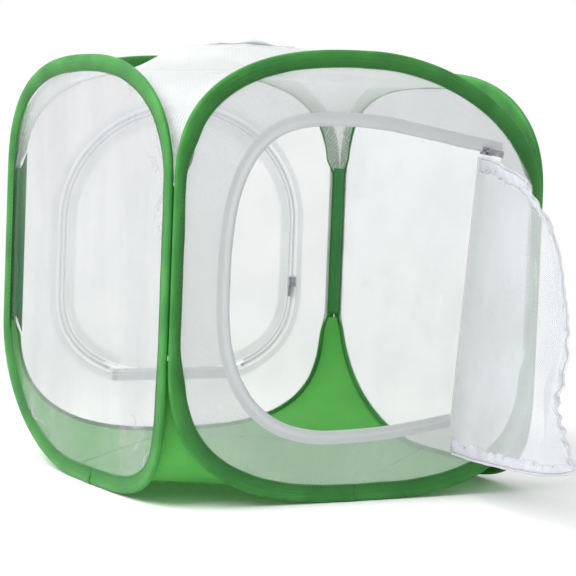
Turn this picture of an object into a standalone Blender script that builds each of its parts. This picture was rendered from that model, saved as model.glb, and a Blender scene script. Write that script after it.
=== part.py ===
# Pop-up insect cage: four spring-wire side loops in folded green tape, sewn together along the
# upright edges, with a clear film window, three mesh walls, a mesh top, a cloth floor, a large
# zip door hanging open on the front and a second zip door closed on the back.
# Metres, +Z up. The origin is the middle of the floor, at the level that the cage stands on.
# The front is towards -Y and the film window towards -X.

import math

import bmesh
import bpy
from mathutils import Vector

# Overall sizes
cage_height = 0.305
plane_width = 0.2912
plane_depth = 0.2822
side_drop = 0.0072
seam_bottom = 0.1010
seam_top_below = 0.0950
fit_gap = 0.0003

# How square each corner of a loop is drawn (2 is an ellipse, more is squarer).
# Order: upper right, upper left, lower left, lower right, seen from the front for the front and
# back loops, and with the near end on the right for the two side loops.
front_powers = (1.90, 2.58, 2.62, 2.92)
back_powers = (2.74, 2.58, 2.62, 2.92)
left_powers = (2.31, 2.65, 1.92, 4.40)
right_powers = (2.31, 3.10, 1.92, 4.40)
corner_steps = 10

# Spring wire, crimped ferrule and the tape folded round them
wire_radius = 0.0010
wire_sides = 6
wire_end_gap = 0.0012
ferrule_wall = 0.00035
ferrule_length = 0.0180
ferrule_sides = 8
ferrule_place_share = 0.55
tape_thickness = 0.00055
tape_width = 0.0120
tape_turn = 0.0055
octagon_half_angle = math.pi / 8

# Panels
mesh_thickness = 0.0006
floor_thickness = 0.0008
panel_overhang = 0.0020

# Top and floor cloths
cloth_across = 4
cloth_rings = 3
cloth_clear = 0.0006
apex_width = 0.0100
tent_lift = 0.0042
tent_x = -0.0200
tent_flat_radius = 0.0300
tent_radius = 0.0950

# Strap on the top
strap_span = 0.0440
strap_width = 0.0200
strap_thickness = 0.0012
strap_rise = 0.0052
strap_foot = 0.0100
strap_steps = 8

# Strips inside the sewn edges
strip_width = 0.0090
strip_thickness = 0.0008

# Zips
zip_tape_thickness = 0.0005
zip_tape_width = 0.0070
coil_radius = 0.0009
coil_sides = 6
stop_length = 0.0030
stop_width = 0.0017
stop_height = 0.0016

# Zip slider and its pull
slider_length = 0.0080
slider_plate = 0.0007
slider_lap = 0.0014
bail_width = 0.0016
bail_length = 0.0056
bail_bar = 0.0008
bail_clear = 0.0018
pull_length = 0.0125
pull_width = 0.0044
pull_thickness = 0.0008
pull_eye_width = 0.0026
pull_eye_start = 0.0005
pull_eye_end = 0.0038
pull_clear = 0.0004

# Front door opening, drawn with its hinge on the right
door_round_margin = 0.0406
door_crown_margin = 0.0490
door_waist_z = 0.1400
door_foot_z = 0.0470
door_upper_power = 3.0
door_lower_power = 2.4
hinge_top_margin = 0.0571
hinge_top_below = 0.0625
hinge_bottom_margin = 0.0711
hinge_bottom_z = 0.0558
door_crown_run = 0.1085
top_straight = 0.0585
top_bend_run = 0.0835
bottom_straight = 0.0245
bottom_bend_run = 0.0595
bend_steps = 4
zip_run_on = 0.0185
zip_stop_short = 0.0064
slit_depth = 0.0062
hinge_tape_width = 0.0080
hinge_tape_lap = 0.0010

# Front door leaf, as it hangs open
open_angle = math.radians(78)
leaf_reach = 0.1940
leaf_top_below = 0.0695
leaf_bottom_z = 0.0320
leaf_top_droop = 0.0700
leaf_droop_power = 2.4
leaf_bottom_rise = 0.0150
leaf_edge_shares = (0.990, 0.945, 0.872, 0.842, 0.868, 0.880, 0.868, 0.832, 0.775)
leaf_columns = 14
leaf_rows = 12
fold_height = 0.0065
fold_count = 3.2
fold_lean = 1.3
fold_grow_power = 1.6
belly_height = 0.0050

# Back door, closed, hinged along its foot
back_mid_x = 0.0025
back_side_margin = 0.0416
back_crown_margin = 0.0380
back_shoulder_below = 0.1300
back_knee_z = 0.1200
back_foot_z = 0.0500
back_hinge_z = 0.0580
back_upper_power = 2.0
back_lower_power = 2.4
back_zip_steps = 9
back_leaf_columns = 13
back_leaf_rows = 10
back_bead_radius = 0.0009
back_slider_rise = 0.0070

# Sizes that follow from the ones above
half_width = plane_width / 2
half_depth = plane_depth / 2
seam_top = cage_height - seam_top_below
door_round_x = door_round_margin - half_width
door_crown_z = cage_height - door_crown_margin
hinge_top_x = half_width - hinge_top_margin
hinge_top_z = cage_height - hinge_top_below
hinge_bottom_x = half_width - hinge_bottom_margin
door_mid_x = hinge_top_x - door_crown_run
top_bend_x = hinge_top_x - top_bend_run
top_bend_start_x = hinge_top_x - top_straight
bottom_bend_x = hinge_bottom_x - bottom_bend_run
bottom_bend_end_x = hinge_bottom_x - bottom_straight
leaf_top_z = cage_height - leaf_top_below
back_half_width = half_width - back_side_margin
back_crown_z = cage_height - back_crown_margin
back_shoulder_z = cage_height - back_shoulder_below
back_slider_z = back_knee_z + back_slider_rise
ferrule_radius = wire_radius + fit_gap + ferrule_wall
channel_radius = ferrule_radius + fit_gap
fold_radius = channel_radius + tape_thickness
corner_setback = (2 * fold_radius + fit_gap) / math.sqrt(2) - fold_radius
panel_face = channel_radius - fit_gap
panel_back = panel_face - mesh_thickness
panel_inset = fold_radius + ferrule_radius + fit_gap
zip_tape_back = panel_face + fit_gap
zip_tape_face = zip_tape_back + zip_tape_thickness
zip_tape_mid = (zip_tape_back + zip_tape_face) / 2
coil_offset = coil_radius + fit_gap
leaf_standoff = zip_tape_mid + coil_radius + 2 * fit_gap + mesh_thickness
bead_radius = leaf_standoff - zip_tape_face - fit_gap
back_standoff = zip_tape_face + fit_gap / 2 + back_bead_radius / 2
second_coil_offset = coil_offset + 2 * coil_radius + 2 * fit_gap + 2 * slider_plate
second_tape_offset = second_coil_offset + coil_radius + fit_gap
slider_outer = zip_tape_mid + coil_radius + fit_gap
slider_inner = zip_tape_mid - coil_radius - fit_gap
top_slope = (door_crown_z - hinge_top_z) / (hinge_top_x - top_bend_x)
bottom_slope = (hinge_bottom_z - door_foot_z) / (hinge_bottom_x - bottom_bend_x)

materials = {}


def material(name, colour, roughness, metallic=0.0, alpha=1.0):
    if name not in materials:
        mat = bpy.data.materials.new(name)
        mat.use_nodes = True
        shader = mat.node_tree.nodes["Principled BSDF"]
        shader.inputs["Base Color"].default_value = (*colour, 1.0)
        shader.inputs["Roughness"].default_value = roughness
        shader.inputs["Metallic"].default_value = metallic
        shader.inputs["Alpha"].default_value = alpha
        materials[name] = mat
    return materials[name]


def green_tape():
    return material("green_tape", (0.075, 0.330, 0.085), 0.55)


def green_cloth():
    return material("green_cloth", (0.120, 0.440, 0.105), 0.60)


def white_mesh():
    return material("white_mesh", (0.800, 0.810, 0.830), 0.80)


def clear_film():
    return material("clear_film", (0.900, 0.920, 0.930), 0.12, alpha=0.3)


def white_tape():
    return material("white_tape", (0.740, 0.745, 0.780), 0.75)


def nylon_coil():
    return material("nylon_coil", (0.780, 0.785, 0.800), 0.40)


def spring_steel():
    return material("spring_steel", (0.480, 0.480, 0.490), 0.30, 1.0)


def slider_metal():
    return material("slider_metal", (0.300, 0.300, 0.320), 0.35, 1.0)


class Face:
    """One upright side of the cage: its own right, up and outward directions."""

    def __init__(self, origin, right, outward):
        self.origin = Vector(origin)
        self.right = Vector(right)
        self.outward = Vector(outward)

    def point(self, u, z, t):
        return self.origin + u * self.right + Vector((0, 0, z)) + t * self.outward


faces = {
    "front": Face((0, -half_depth, 0), (1, 0, 0), (0, -1, 0)),
    "back": Face((0, half_depth, 0), (1, 0, 0), (0, 1, 0)),
    "left": Face((-half_width, 0, 0), (0, -1, 0), (-1, 0, 0)),
    "right": Face((half_width, 0, 0), (0, -1, 0), (1, 0, 0)),
}


def add_object(name, bm, mat, origin=(0, 0, 0), smooth_angle=None):
    """Close the mesh off as one outward-facing solid with its origin where it is placed."""
    bmesh.ops.recalc_face_normals(bm, faces=bm.faces)
    bmesh.ops.translate(bm, verts=bm.verts, vec=-Vector(origin))
    mesh = bpy.data.meshes.new(name)
    bm.to_mesh(mesh)
    bm.free()
    if smooth_angle is not None:
        mesh.shade_smooth()
        mesh.set_sharp_from_angle(angle=smooth_angle)
    mesh.materials.append(mat)
    obj = bpy.data.objects.new(name, mesh)
    obj.location = origin
    bpy.context.collection.objects.link(obj)
    return obj


def bridge_rings(bm, rings, closed):
    """Join rings of points, each a closed outline, into a skin; cap the ends of an open run."""
    loops = [[bm.verts.new(p) for p in ring] for ring in rings]
    count = len(loops[0])
    pairs = list(zip(loops, loops[1:]))
    if closed:
        pairs.append((loops[-1], loops[0]))
    for first, second in pairs:
        for i in range(count):
            j = (i + 1) % count
            bm.faces.new((first[i], first[j], second[j], second[i]))
    if not closed:
        bm.faces.new(loops[0])
        bm.faces.new(loops[-1])


def plate(name, outline, holes, face, low, high, mat):
    """A flat sheet with holes, between two distances outward from its face."""
    bm = bmesh.new()
    edges = []
    for points in [outline] + holes:
        verts = [bm.verts.new(face.point(u, z, low)) for u, z in points]
        edges += [bm.edges.new((a, b)) for a, b in zip(verts, verts[1:] + verts[:1])]
    bmesh.ops.triangle_fill(bm, edges=edges, use_beauty=True, use_dissolve=False)
    top = bmesh.ops.extrude_face_region(bm, geom=bm.faces[:])
    moved = [item for item in top["geom"] if isinstance(item, bmesh.types.BMVert)]
    bmesh.ops.translate(bm, verts=moved, vec=face.outward * (high - low))
    return add_object(name, bm, mat)


def band(name, outer, inner, face, low, high, mat):
    """A flat strip between two matching paths, between two distances outward."""
    bm = bmesh.new()
    rings = []
    for (u0, z0), (u1, z1) in zip(outer, inner):
        rings.append([face.point(u0, z0, low), face.point(u1, z1, low),
                      face.point(u1, z1, high), face.point(u0, z0, high)])
    bridge_rings(bm, rings, closed=False)
    return add_object(name, bm, mat)


def tube(name, points, radius, sides, mat):
    """A round cord through the points, as a filled curve."""
    curve = bpy.data.curves.new(name, "CURVE")
    curve.dimensions = "3D"
    curve.bevel_depth = radius
    curve.bevel_resolution = max(sides // 2 - 2, 0)
    curve.use_fill_caps = True
    spline = curve.splines.new("POLY")
    spline.points.add(len(points) - 1)
    for item, p in zip(spline.points, points):
        item.co = (*p, 1.0)
    curve.materials.append(mat)
    obj = bpy.data.objects.new(name, curve)
    bpy.context.collection.objects.link(obj)
    return obj


def super_quadrant(power, steps):
    """Shares across and up of one quadrant, from the side (1, 0) to the crown (0, 1)."""
    shares = []
    for i in range(steps + 1):
        t = i / steps * math.pi / 2
        shares.append((abs(math.cos(t)) ** (2 / power) if i < steps else 0.0,
                       math.sin(t) ** (2 / power)))
    return shares


def loop_size(side):
    """Half width, height and corner powers of a loop's outer edge."""
    if side in ("front", "back"):
        powers = front_powers if side == "front" else back_powers
        return half_width - corner_setback, cage_height, powers
    powers = left_powers if side == "left" else right_powers
    return half_depth - corner_setback, cage_height - side_drop, powers


def loop_quadrant(side, sx, sz):
    """Outer-edge points and inward directions of one quarter of a loop, side to crown."""
    half, height, powers = loop_size(side)
    power = powers[{(1, 1): 0, (-1, 1): 1, (-1, -1): 2, (1, -1): 3}[(sx, sz)]]
    start = seam_top if sz > 0 else seam_bottom
    rise = height - seam_top if sz > 0 else seam_bottom
    stations = []
    for across, up in super_quadrant(power, corner_steps):
        nu = -sx * across ** (power - 1) / half
        nz = -sz * up ** (power - 1) / rise
        size = math.hypot(nu, nz)
        stations.append((sx * half * across, start + sz * rise * up, nu / size, nz / size))
    return stations


def loop_stations(side):
    """The whole loop, from the middle of its foot, right, up, over and back down."""
    lower_right = loop_quadrant(side, 1, -1)[::-1]
    upper_right = loop_quadrant(side, 1, 1)
    upper_left = loop_quadrant(side, -1, 1)[::-1]
    lower_left = loop_quadrant(side, -1, -1)
    return lower_right + upper_right + upper_left[1:] + lower_left[:-1]


def inset(station, r):
    u, z, nu, nz = station
    return u + nu * r, z + nz * r


def between(a, b, share):
    return tuple(p + (q - p) * share for p, q in zip(a, b))


def section_rings(side, stations, section):
    """Place a section of (inset, outward) points at every station of a loop."""
    face = faces[side]
    return [[face.point(*inset(station, r), t) for r, t in section] for station in stations]


def round_section(radius, sides):
    turn = 2 * math.pi / sides
    return [(fold_radius + radius * math.cos((i + 0.5) * turn),
             radius * math.sin((i + 0.5) * turn)) for i in range(sides)]


def fold_arc(radius):
    """Corners of the half octagon that the fold makes round the wire, outward side first."""
    corner = radius / math.cos(octagon_half_angle)
    angles = [math.pi / 2 + octagon_half_angle * (2 * k + 1) for k in range(4)]
    return [(fold_radius + corner * math.cos(a), corner * math.sin(a)) for a in angles]


def tape_section():
    outer = [(tape_width, fold_radius)] + fold_arc(fold_radius) + [(tape_turn, -fold_radius)]
    inner = [(tape_width, channel_radius)] + fold_arc(channel_radius)
    inner += [(tape_turn, -channel_radius)]
    return outer + inner[::-1]


def make_binding(side):
    bm = bmesh.new()
    bridge_rings(bm, section_rings(side, loop_stations(side), tape_section()), closed=True)
    add_object("binding_" + side, bm, green_tape(), smooth_angle=math.radians(50))


def make_wire(side):
    """The wire runs once round and ends inside its ferrule."""
    stations = loop_stations(side)
    first, second = stations[0], stations[1]
    length = math.dist(inset(first, fold_radius), inset(second, fold_radius))
    half_gap_share = wire_end_gap / 2 / length
    start = between(first, second, ferrule_place_share + half_gap_share)
    end = between(first, second, ferrule_place_share - half_gap_share)
    run = [start] + stations[1:] + [first, end]
    bm = bmesh.new()
    bridge_rings(bm, section_rings(side, run, round_section(wire_radius, wire_sides)), closed=False)
    add_object("spring_wire_" + side, bm, spring_steel(), smooth_angle=math.radians(65))


def make_ferrule(side):
    stations = loop_stations(side)
    first, second = stations[0], stations[1]
    length = math.dist(inset(first, fold_radius), inset(second, fold_radius))
    half_share = ferrule_length / 2 / length
    ends = [between(first, second, ferrule_place_share + k * half_share) for k in (-1, 1)]
    bore = (wire_radius + fit_gap) / math.cos(math.pi / ferrule_sides)
    bm = bmesh.new()
    outer = section_rings(side, ends, round_section(ferrule_radius, ferrule_sides))
    inner = section_rings(side, ends, round_section(bore, ferrule_sides))
    bridge_rings(bm, [outer[0], outer[1], inner[1], inner[0]], closed=True)
    add_object("wire_ferrule_" + side, bm, spring_steel(), smooth_angle=math.radians(50))


def panel_outline(side):
    return [inset(station, panel_inset) for station in loop_stations(side)]


def offset_path(points, distance):
    """Move an open path sideways, to the right of its run."""
    moved = []
    for i, (u, z) in enumerate(points):
        before = points[max(i - 1, 0)]
        after = points[min(i + 1, len(points) - 1)]
        turns = []
        for a, b in ((before, (u, z)), ((u, z), after)):
            size = math.dist(a, b)
            if size > 0:
                turns.append(((b[1] - a[1]) / size, (a[0] - b[0]) / size))
        nu = sum(t[0] for t in turns) / len(turns)
        nz = sum(t[1] for t in turns) / len(turns)
        square = nu * nu + nz * nz
        moved.append((u + nu / square * distance, z + nz / square * distance))
    return moved


def bend(start, corner, end):
    """Points of a smooth bend, without its two ends."""
    points = []
    for i in range(1, bend_steps):
        s = i / bend_steps
        points.append(tuple((1 - s) ** 2 * a + 2 * s * (1 - s) * b + s * s * c
                            for a, b, c in zip(start, corner, end)))
    return points


def top_line(u):
    return u, hinge_top_z + (hinge_top_x - u) * top_slope


def bottom_line(u):
    return u, hinge_bottom_z - (hinge_bottom_x - u) * bottom_slope


def door_zip_line():
    """The front zip, from its upper end past the hinge, round the door, to the hinge's foot."""
    crown = (door_mid_x, door_crown_z)
    foot = (door_mid_x, door_foot_z)
    reach = door_mid_x - door_round_x
    start = top_line(top_bend_start_x)
    end = bottom_line(bottom_bend_end_x)
    path = [top_line(hinge_top_x + zip_run_on), top_line(hinge_top_x), start]
    path += bend(start, (top_bend_x, door_crown_z), crown)
    upper = super_quadrant(door_upper_power, corner_steps)
    path += [(door_mid_x - reach * across, door_waist_z + (door_crown_z - door_waist_z) * up)
             for across, up in upper[::-1]]
    lower = super_quadrant(door_lower_power, corner_steps)
    path += [(door_mid_x - reach * across, door_waist_z - (door_waist_z - door_foot_z) * up)
             for across, up in lower[1:]]
    path += bend(foot, (bottom_bend_x, door_foot_z), end)
    return path + [end, bottom_line(hinge_bottom_x - zip_stop_short)]


def hinge_point(z):
    share = (z - hinge_bottom_z) / (hinge_top_z - hinge_bottom_z)
    return hinge_bottom_x + (hinge_top_x - hinge_bottom_x) * share, z


def door_hole():
    """The cut in the front panel: the door and the short slit that the slider parks in."""
    path = door_zip_line()
    slit_end = (path[0][0], path[0][1] - slit_depth)
    return offset_path(path, panel_overhang) + [hinge_point(hinge_bottom_z),
                                                hinge_point(hinge_top_z - slit_depth), slit_end]


def back_zip_line():
    """The back zip, from the right end of the hinge, up, over and down to the left end."""
    cut = (back_knee_z - back_hinge_z) / (back_knee_z - back_foot_z)
    last = math.asin(cut ** (back_lower_power / 2))
    lower = []
    for i in range(back_zip_steps + 1):
        t = last * i / back_zip_steps
        lower.append((math.cos(t) ** (2 / back_lower_power), math.sin(t) ** (2 / back_lower_power)))
    upper = super_quadrant(back_upper_power, back_zip_steps)
    right = [(across, back_knee_z - (back_knee_z - back_foot_z) * up) for across, up in lower[::-1]]
    right += [(across, back_shoulder_z + (back_crown_z - back_shoulder_z) * up)
              for across, up in upper]
    left = [(-across, z) for across, z in right[-2::-1]]
    return [(back_mid_x + back_half_width * share, z) for share, z in right + left]


def make_wall_panels():
    plate("left_window_film", panel_outline("left"), [], faces["left"],
          panel_back, panel_face, clear_film())
    plate("right_mesh_panel", panel_outline("right"), [], faces["right"],
          panel_back, panel_face, white_mesh())
    plate("front_mesh_panel", panel_outline("front"), [door_hole()], faces["front"],
          panel_back, panel_face, white_mesh())
    plate("back_mesh_panel", panel_outline("back"), [offset_path(back_zip_line(), panel_overhang)],
          faces["back"], panel_back, panel_face, white_mesh())


def seam_run(side, sx, sz, thickness):
    """Where the top or floor cloth meets one quarter of a loop, from the crown to the seam."""
    face = faces[side]
    full_drop = fold_radius - thickness / 2
    partner = -face.outward
    run = []
    for station in loop_quadrant(side, sx, sz)[::-1]:
        u, z = inset(station, fold_radius)
        _, _, nu, nz = station
        along = Vector(face.right * -nz) + Vector((0, 0, nu))
        along.normalize()
        inward = partner - sx * face.right
        inward = (inward - along * inward.dot(along)).normalized()
        depth = inward.dot(partner)
        slant = math.sqrt(max(1 - depth * depth, 0))
        reach = (fold_radius + cloth_clear + slant * thickness / 2) / depth
        upright = Vector((0, 0, sz)) - along * along.z * sz
        level = abs(nz) ** 2
        rise = full_drop * level
        side_reach = math.sqrt(reach ** 2 - rise ** 2)
        lift = upright.normalized() * rise if upright.length > 0 else Vector()
        run.append(face.point(u, z, 0) + inward * side_reach + lift)
    return run


def tent(p, lift):
    """Height that the strap pulls the top mesh up by."""
    r = math.hypot(p.x - tent_x, p.y)
    share = (r - tent_flat_radius) / (tent_radius - tent_flat_radius)
    share = min(max(share, 0.0), 1.0)
    return lift * (1 - share * share * (3 - 2 * share))


def corner_rows(first, second):
    """Straight threads across one corner of the cloth, widest first, down to the apex."""
    rows = []
    for a, b in zip(first, second):
        if (a - b).length < apex_width:
            break
        rows.append([a.lerp(b, i / cloth_across) for i in range(cloth_across + 1)])
    return rows


def cloth_surface(sz, thickness, lift):
    """Cloth stretched between the crowns of the four loops, and up or down into the corners."""
    order = [("front", 1, "right", 1), ("right", -1, "back", 1),
             ("back", -1, "left", -1), ("left", 1, "front", -1)]
    bm = bmesh.new()
    centre = Vector((0, 0, thickness / 2 if sz < 0 else cage_height - thickness / 2))
    hub_runs = []
    for side_a, sx_a, side_b, sx_b in order:
        run_a = seam_run(side_a, sx_a, sz, thickness)
        run_b = seam_run(side_b, sx_b, sz, thickness)
        rows = corner_rows(run_a, run_b)
        grid = [[bm.verts.new(p) for p in row] for row in rows]
        for low, high in zip(grid, grid[1:]):
            for i in range(cloth_across):
                bm.faces.new((low[i], low[i + 1], high[i + 1], high[i]))
        hub_runs.append(grid[0])
    ring = [v for run in hub_runs for v in run[:-1]]
    for j in range(1, cloth_rings):
        share = j / cloth_rings
        inner = [bm.verts.new(v.co.lerp(centre, 1 / (cloth_rings - j + 1))) for v in ring]
        for i in range(len(ring)):
            k = (i + 1) % len(ring)
            bm.faces.new((ring[i], ring[k], inner[k], inner[i]))
        ring = inner
    hub = bm.verts.new(centre)
    for i in range(len(ring)):
        bm.faces.new((ring[i], ring[(i + 1) % len(ring)], hub))
    bmesh.ops.remove_doubles(bm, verts=bm.verts, dist=fit_gap / 10)
    for v in bm.verts:
        v.co.z += tent(v.co, lift)
    return bm


def thicken(bm, thickness):
    """Give a sheet its thickness, half to each side."""
    bmesh.ops.recalc_face_normals(bm, faces=bm.faces)
    bm.normal_update()
    middle = {v: v.co.copy() for v in bm.verts}
    normals = {v: v.normal.copy() for v in bm.verts}
    old = bm.verts[:]
    made = bmesh.ops.extrude_face_region(bm, geom=bm.faces[:])
    new = [item for item in made["geom"] if isinstance(item, bmesh.types.BMVert)]
    by_place = {tuple(p): v for v, p in middle.items()}
    for v in new:
        source = by_place[tuple(v.co)]
        v.co = middle[source] + normals[source] * thickness / 2
    for v in old:
        v.co = middle[v] - normals[v] * thickness / 2


def make_top_and_floor():
    bm = cloth_surface(1, mesh_thickness, tent_lift)
    thicken(bm, mesh_thickness)
    add_object("top_mesh_panel", bm, white_mesh(), smooth_angle=math.radians(40))
    bm = cloth_surface(-1, floor_thickness, 0.0)
    thicken(bm, floor_thickness)
    add_object("floor_panel", bm, green_cloth(), smooth_angle=math.radians(40))


def make_corner_strip(name, sx, sy):
    """A strip across the inside of a sewn upright edge."""
    centre = Vector((sx * half_width, sy * half_depth, 0))
    inward = Vector((-sx, -sy, 0)).normalized()
    across = Vector((-inward.y, inward.x, 0))
    corner_leg = (corner_setback + tape_turn) / math.sqrt(2)
    back = corner_leg + fold_radius * math.sqrt(2) / 2 + fit_gap + strip_thickness / 2
    rings = []
    for z in (seam_bottom, seam_top):
        base = centre + inward * back + Vector((0, 0, z))
        rings.append([base + across * w * strip_width / 2 + inward * d * strip_thickness / 2
                      for w, d in ((-1, -1), (1, -1), (1, 1), (-1, 1))])
    bm = bmesh.new()
    bridge_rings(bm, rings, closed=False)
    add_object(name, bm, green_tape())


def make_strap():
    """A low webbing loop sewn to the top through its two feet."""
    low = cage_height + tent_lift + fit_gap
    half = strap_span / 2
    upper, lower = [], []
    for i in range(strap_steps + 1):
        s = -1 + 2 * i / strap_steps
        height = strap_rise * (1 - s ** 4)
        upper.append((s * half, height + strap_thickness))
        lower.append((s * (half - strap_thickness), max(height, 0)))
    feet_right = [(half + strap_foot, strap_thickness), (half + strap_foot, 0)]
    feet_left = [(-half - strap_foot, 0), (-half - strap_foot, strap_thickness)]
    outline = upper + feet_right + lower[::-1] + feet_left
    bm = bmesh.new()
    rings = [[Vector((tent_x + x, y, low + z)) for x, z in outline]
             for y in (-strap_width / 2, strap_width / 2)]
    bridge_rings(bm, rings, closed=False)
    add_object("top_strap", bm, white_tape())


def make_panel_zip(prefix, path, face):
    """The half of a zip that is sewn to the panel: tape, coil and two end stops."""
    band(prefix + "_panel_zip_tape", offset_path(path, zip_tape_width), path, face,
         zip_tape_back, zip_tape_face, white_tape())
    line = offset_path(path, -coil_offset)
    for end, before in ((0, 1), (-1, -2)):
        share = (stop_length + 2 * fit_gap) / math.dist(line[end], line[before])
        line[end] = between(line[end], line[before], share)
    tube(prefix + "_panel_zip_coil", [face.point(u, z, zip_tape_mid) for u, z in line],
         coil_radius, coil_sides, nylon_coil())
    for name, end, before in (("_zip_top_stop", line[0], line[1]),
                              ("_zip_bottom_stop", line[-1], line[-2])):
        run = Vector((end[0] - before[0], end[1] - before[1])).normalized()
        cross = Vector((-run.y, run.x))
        start = Vector(end) + run * fit_gap
        outline = []
        for a, b in ((0, -1), (stop_length, -1), (stop_length, 1), (0, 1)):
            outline.append(tuple(start + run * a + cross * b * stop_width / 2))
        plate(prefix + name, outline, [], face, zip_tape_mid - stop_height / 2,
              zip_tape_mid + stop_height / 2, nylon_coil())


def slider_block(name, face, place, run, cross, section):
    """A slider: its section drawn across the zip, run along it, with a bail for the pull."""
    u0, z0 = place

    def at(p, q, t):
        return face.point(u0 + run[0] * p + cross[0] * q, z0 + run[1] * p + cross[1] * q, t)

    bm = bmesh.new()
    rings = [[at(p, q, t) for q, t in section] for p in (-slider_length / 2, slider_length / 2)]
    bridge_rings(bm, rings, closed=False)
    origin = at(0, 0, slider_outer + slider_plate)
    body = add_object(name, bm, slider_metal(), origin)
    middle = (section[0][0] + section[1][0]) / 2
    half = bail_length / 2
    base = slider_outer + slider_plate / 2
    under = slider_outer + slider_plate + bail_clear
    outline = [(-half, base), (-half, under + bail_bar), (half, under + bail_bar), (half, base),
               (half - bail_bar, base), (half - bail_bar, under), (bail_bar - half, under),
               (bail_bar - half, base)]
    bm = bmesh.new()
    rings = [[at(p, middle + w * bail_width / 2, t) for p, t in outline] for w in (-1, 1)]
    bridge_rings(bm, rings, closed=False)
    bail = add_object(name + "_bail_guide", bm, slider_metal(), origin)
    bail.hide_render = True
    bail.display_type = "WIRE"
    join = body.modifiers.new("bail", "BOOLEAN")
    join.operation = "UNION"
    join.object = bail
    return at, middle


def make_pull(name, at, middle):
    """The pull lies along the zip, its eye round one leg of the bail."""
    axis_t = slider_outer + slider_plate + pull_thickness / 2 + pull_clear
    half = pull_width / 2
    eye = pull_eye_width / 2
    bm = bmesh.new()
    shapes = [[(-pull_eye_start, -half), (pull_length, -half), (pull_length, half),
               (-pull_eye_start, half)],
              [(pull_eye_start, -eye), (pull_eye_end, -eye), (pull_eye_end, eye),
               (pull_eye_start, eye)]]
    edges = []
    for points in shapes:
        verts = [bm.verts.new(at(p, middle + q, axis_t - pull_thickness / 2)) for p, q in points]
        edges += [bm.edges.new((a, b)) for a, b in zip(verts, verts[1:] + verts[:1])]
    bmesh.ops.triangle_fill(bm, edges=edges, use_beauty=True, use_dissolve=False)
    made = bmesh.ops.extrude_face_region(bm, geom=bm.faces[:])
    moved = [item for item in made["geom"] if isinstance(item, bmesh.types.BMVert)]
    outward = at(0, 0, 1) - at(0, 0, 0)
    bmesh.ops.translate(bm, verts=moved, vec=outward * pull_thickness)
    add_object(name, bm, slider_metal(), at(0, middle, axis_t))


def channel_section():
    """A slider's section: a channel round the coil, open towards the tape."""
    web = -coil_offset - coil_radius - fit_gap
    low = web - 2 * slider_plate
    return [(slider_lap, slider_outer + slider_plate), (low, slider_outer + slider_plate),
            (low, slider_inner - slider_plate), (slider_lap, slider_inner - slider_plate),
            (slider_lap, slider_inner), (web, slider_inner), (web, slider_outer),
            (slider_lap, slider_outer)]


def make_sliders():
    """The front slider is parked past the hinge, the back one low on the straight side."""
    size = math.hypot(1, top_slope)
    run = (1 / size, -top_slope / size)
    cross = (top_slope / size, 1 / size)
    place = top_line(hinge_top_x + bead_radius + 2 * fit_gap + slider_length / 2)
    at, middle = slider_block("door_zip_slider", faces["front"], place, run, cross,
                              channel_section())
    make_pull("door_zip_pull", at, middle)
    place = (back_mid_x + back_half_width, back_slider_z)
    at, middle = slider_block("back_zip_slider", faces["back"], place, (0, -1), (1, 0),
                              channel_section())
    make_pull("back_zip_pull", at, middle)


def make_hinge_tape():
    """A strip on the front panel behind the leaf's sewn edge."""
    ends = (hinge_bottom_z, hinge_top_z - slit_depth)
    outer = [(hinge_point(z)[0] + hinge_tape_width - hinge_tape_lap, z) for z in ends]
    inner = [(hinge_point(z)[0] - hinge_tape_lap, z) for z in ends]
    band("door_hinge_tape", outer, inner, faces["front"], zip_tape_back, zip_tape_face,
         white_tape())


def bead_columns(radius):
    """Distance from the hinge and half thickness of the rolled edge, then of the plain sheet."""
    third = radius * math.sqrt(0.5)
    return [(-third, third), (0, radius), (third, third), (radius + fit_gap, mesh_thickness / 2)]


def leaf_edge(v):
    """How far the free edge reaches at a share of the leaf's height."""
    place = v * (len(leaf_edge_shares) - 1)
    i = min(int(place), len(leaf_edge_shares) - 2)
    f = place - i
    f = f * f * (3 - 2 * f)
    return leaf_reach * (leaf_edge_shares[i] * (1 - f) + leaf_edge_shares[i + 1] * f)


hinge_run = Vector((hinge_top_x - hinge_bottom_x, 0, hinge_top_z - hinge_bottom_z)).normalized()
leaf_along = Vector((-math.cos(open_angle), -math.sin(open_angle), 0))
leaf_outward = hinge_run.cross(leaf_along).normalized()


def leaf_point(s, v, reach=None):
    """A point of the hanging leaf: s from hinge to free edge, v from bottom to top."""
    u = s * leaf_edge(v) if reach is None else reach
    bottom = leaf_bottom_z + leaf_bottom_rise * s
    top = leaf_top_z - leaf_top_droop * s ** leaf_droop_power
    z = bottom + (top - bottom) * v
    x, _ = hinge_point(z)
    ridge = 0.5 - 0.5 * math.cos(2 * math.pi * fold_count * s + fold_lean * v)
    fold = fold_height * s ** fold_grow_power * ridge
    fold += belly_height * math.sin(math.pi * s) * math.sin(math.pi * v)
    base = faces["front"].point(x, z, leaf_standoff)
    return base + leaf_along * u + leaf_outward * fold


def leaf_grid():
    """Points of the leaf beyond its rolled edge, with one row and column at the tape's edge."""
    inner_share = 1 - zip_tape_width / leaf_reach
    grid = []
    for i in range(1, leaf_columns + 1):
        s = 1.0 if i == leaf_columns else inner_share * i / (leaf_columns - 1)
        height = leaf_top_z - leaf_bottom_z - leaf_top_droop * s ** leaf_droop_power
        edge_share = zip_tape_width / (height - leaf_bottom_rise * s)
        column = [leaf_point(s, 0)]
        for j in range(leaf_rows - 1):
            v = edge_share + (1 - 2 * edge_share) * j / (leaf_rows - 2)
            column.append(leaf_point(s, v))
        grid.append(column + [leaf_point(s, 1)])
    return grid


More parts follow.
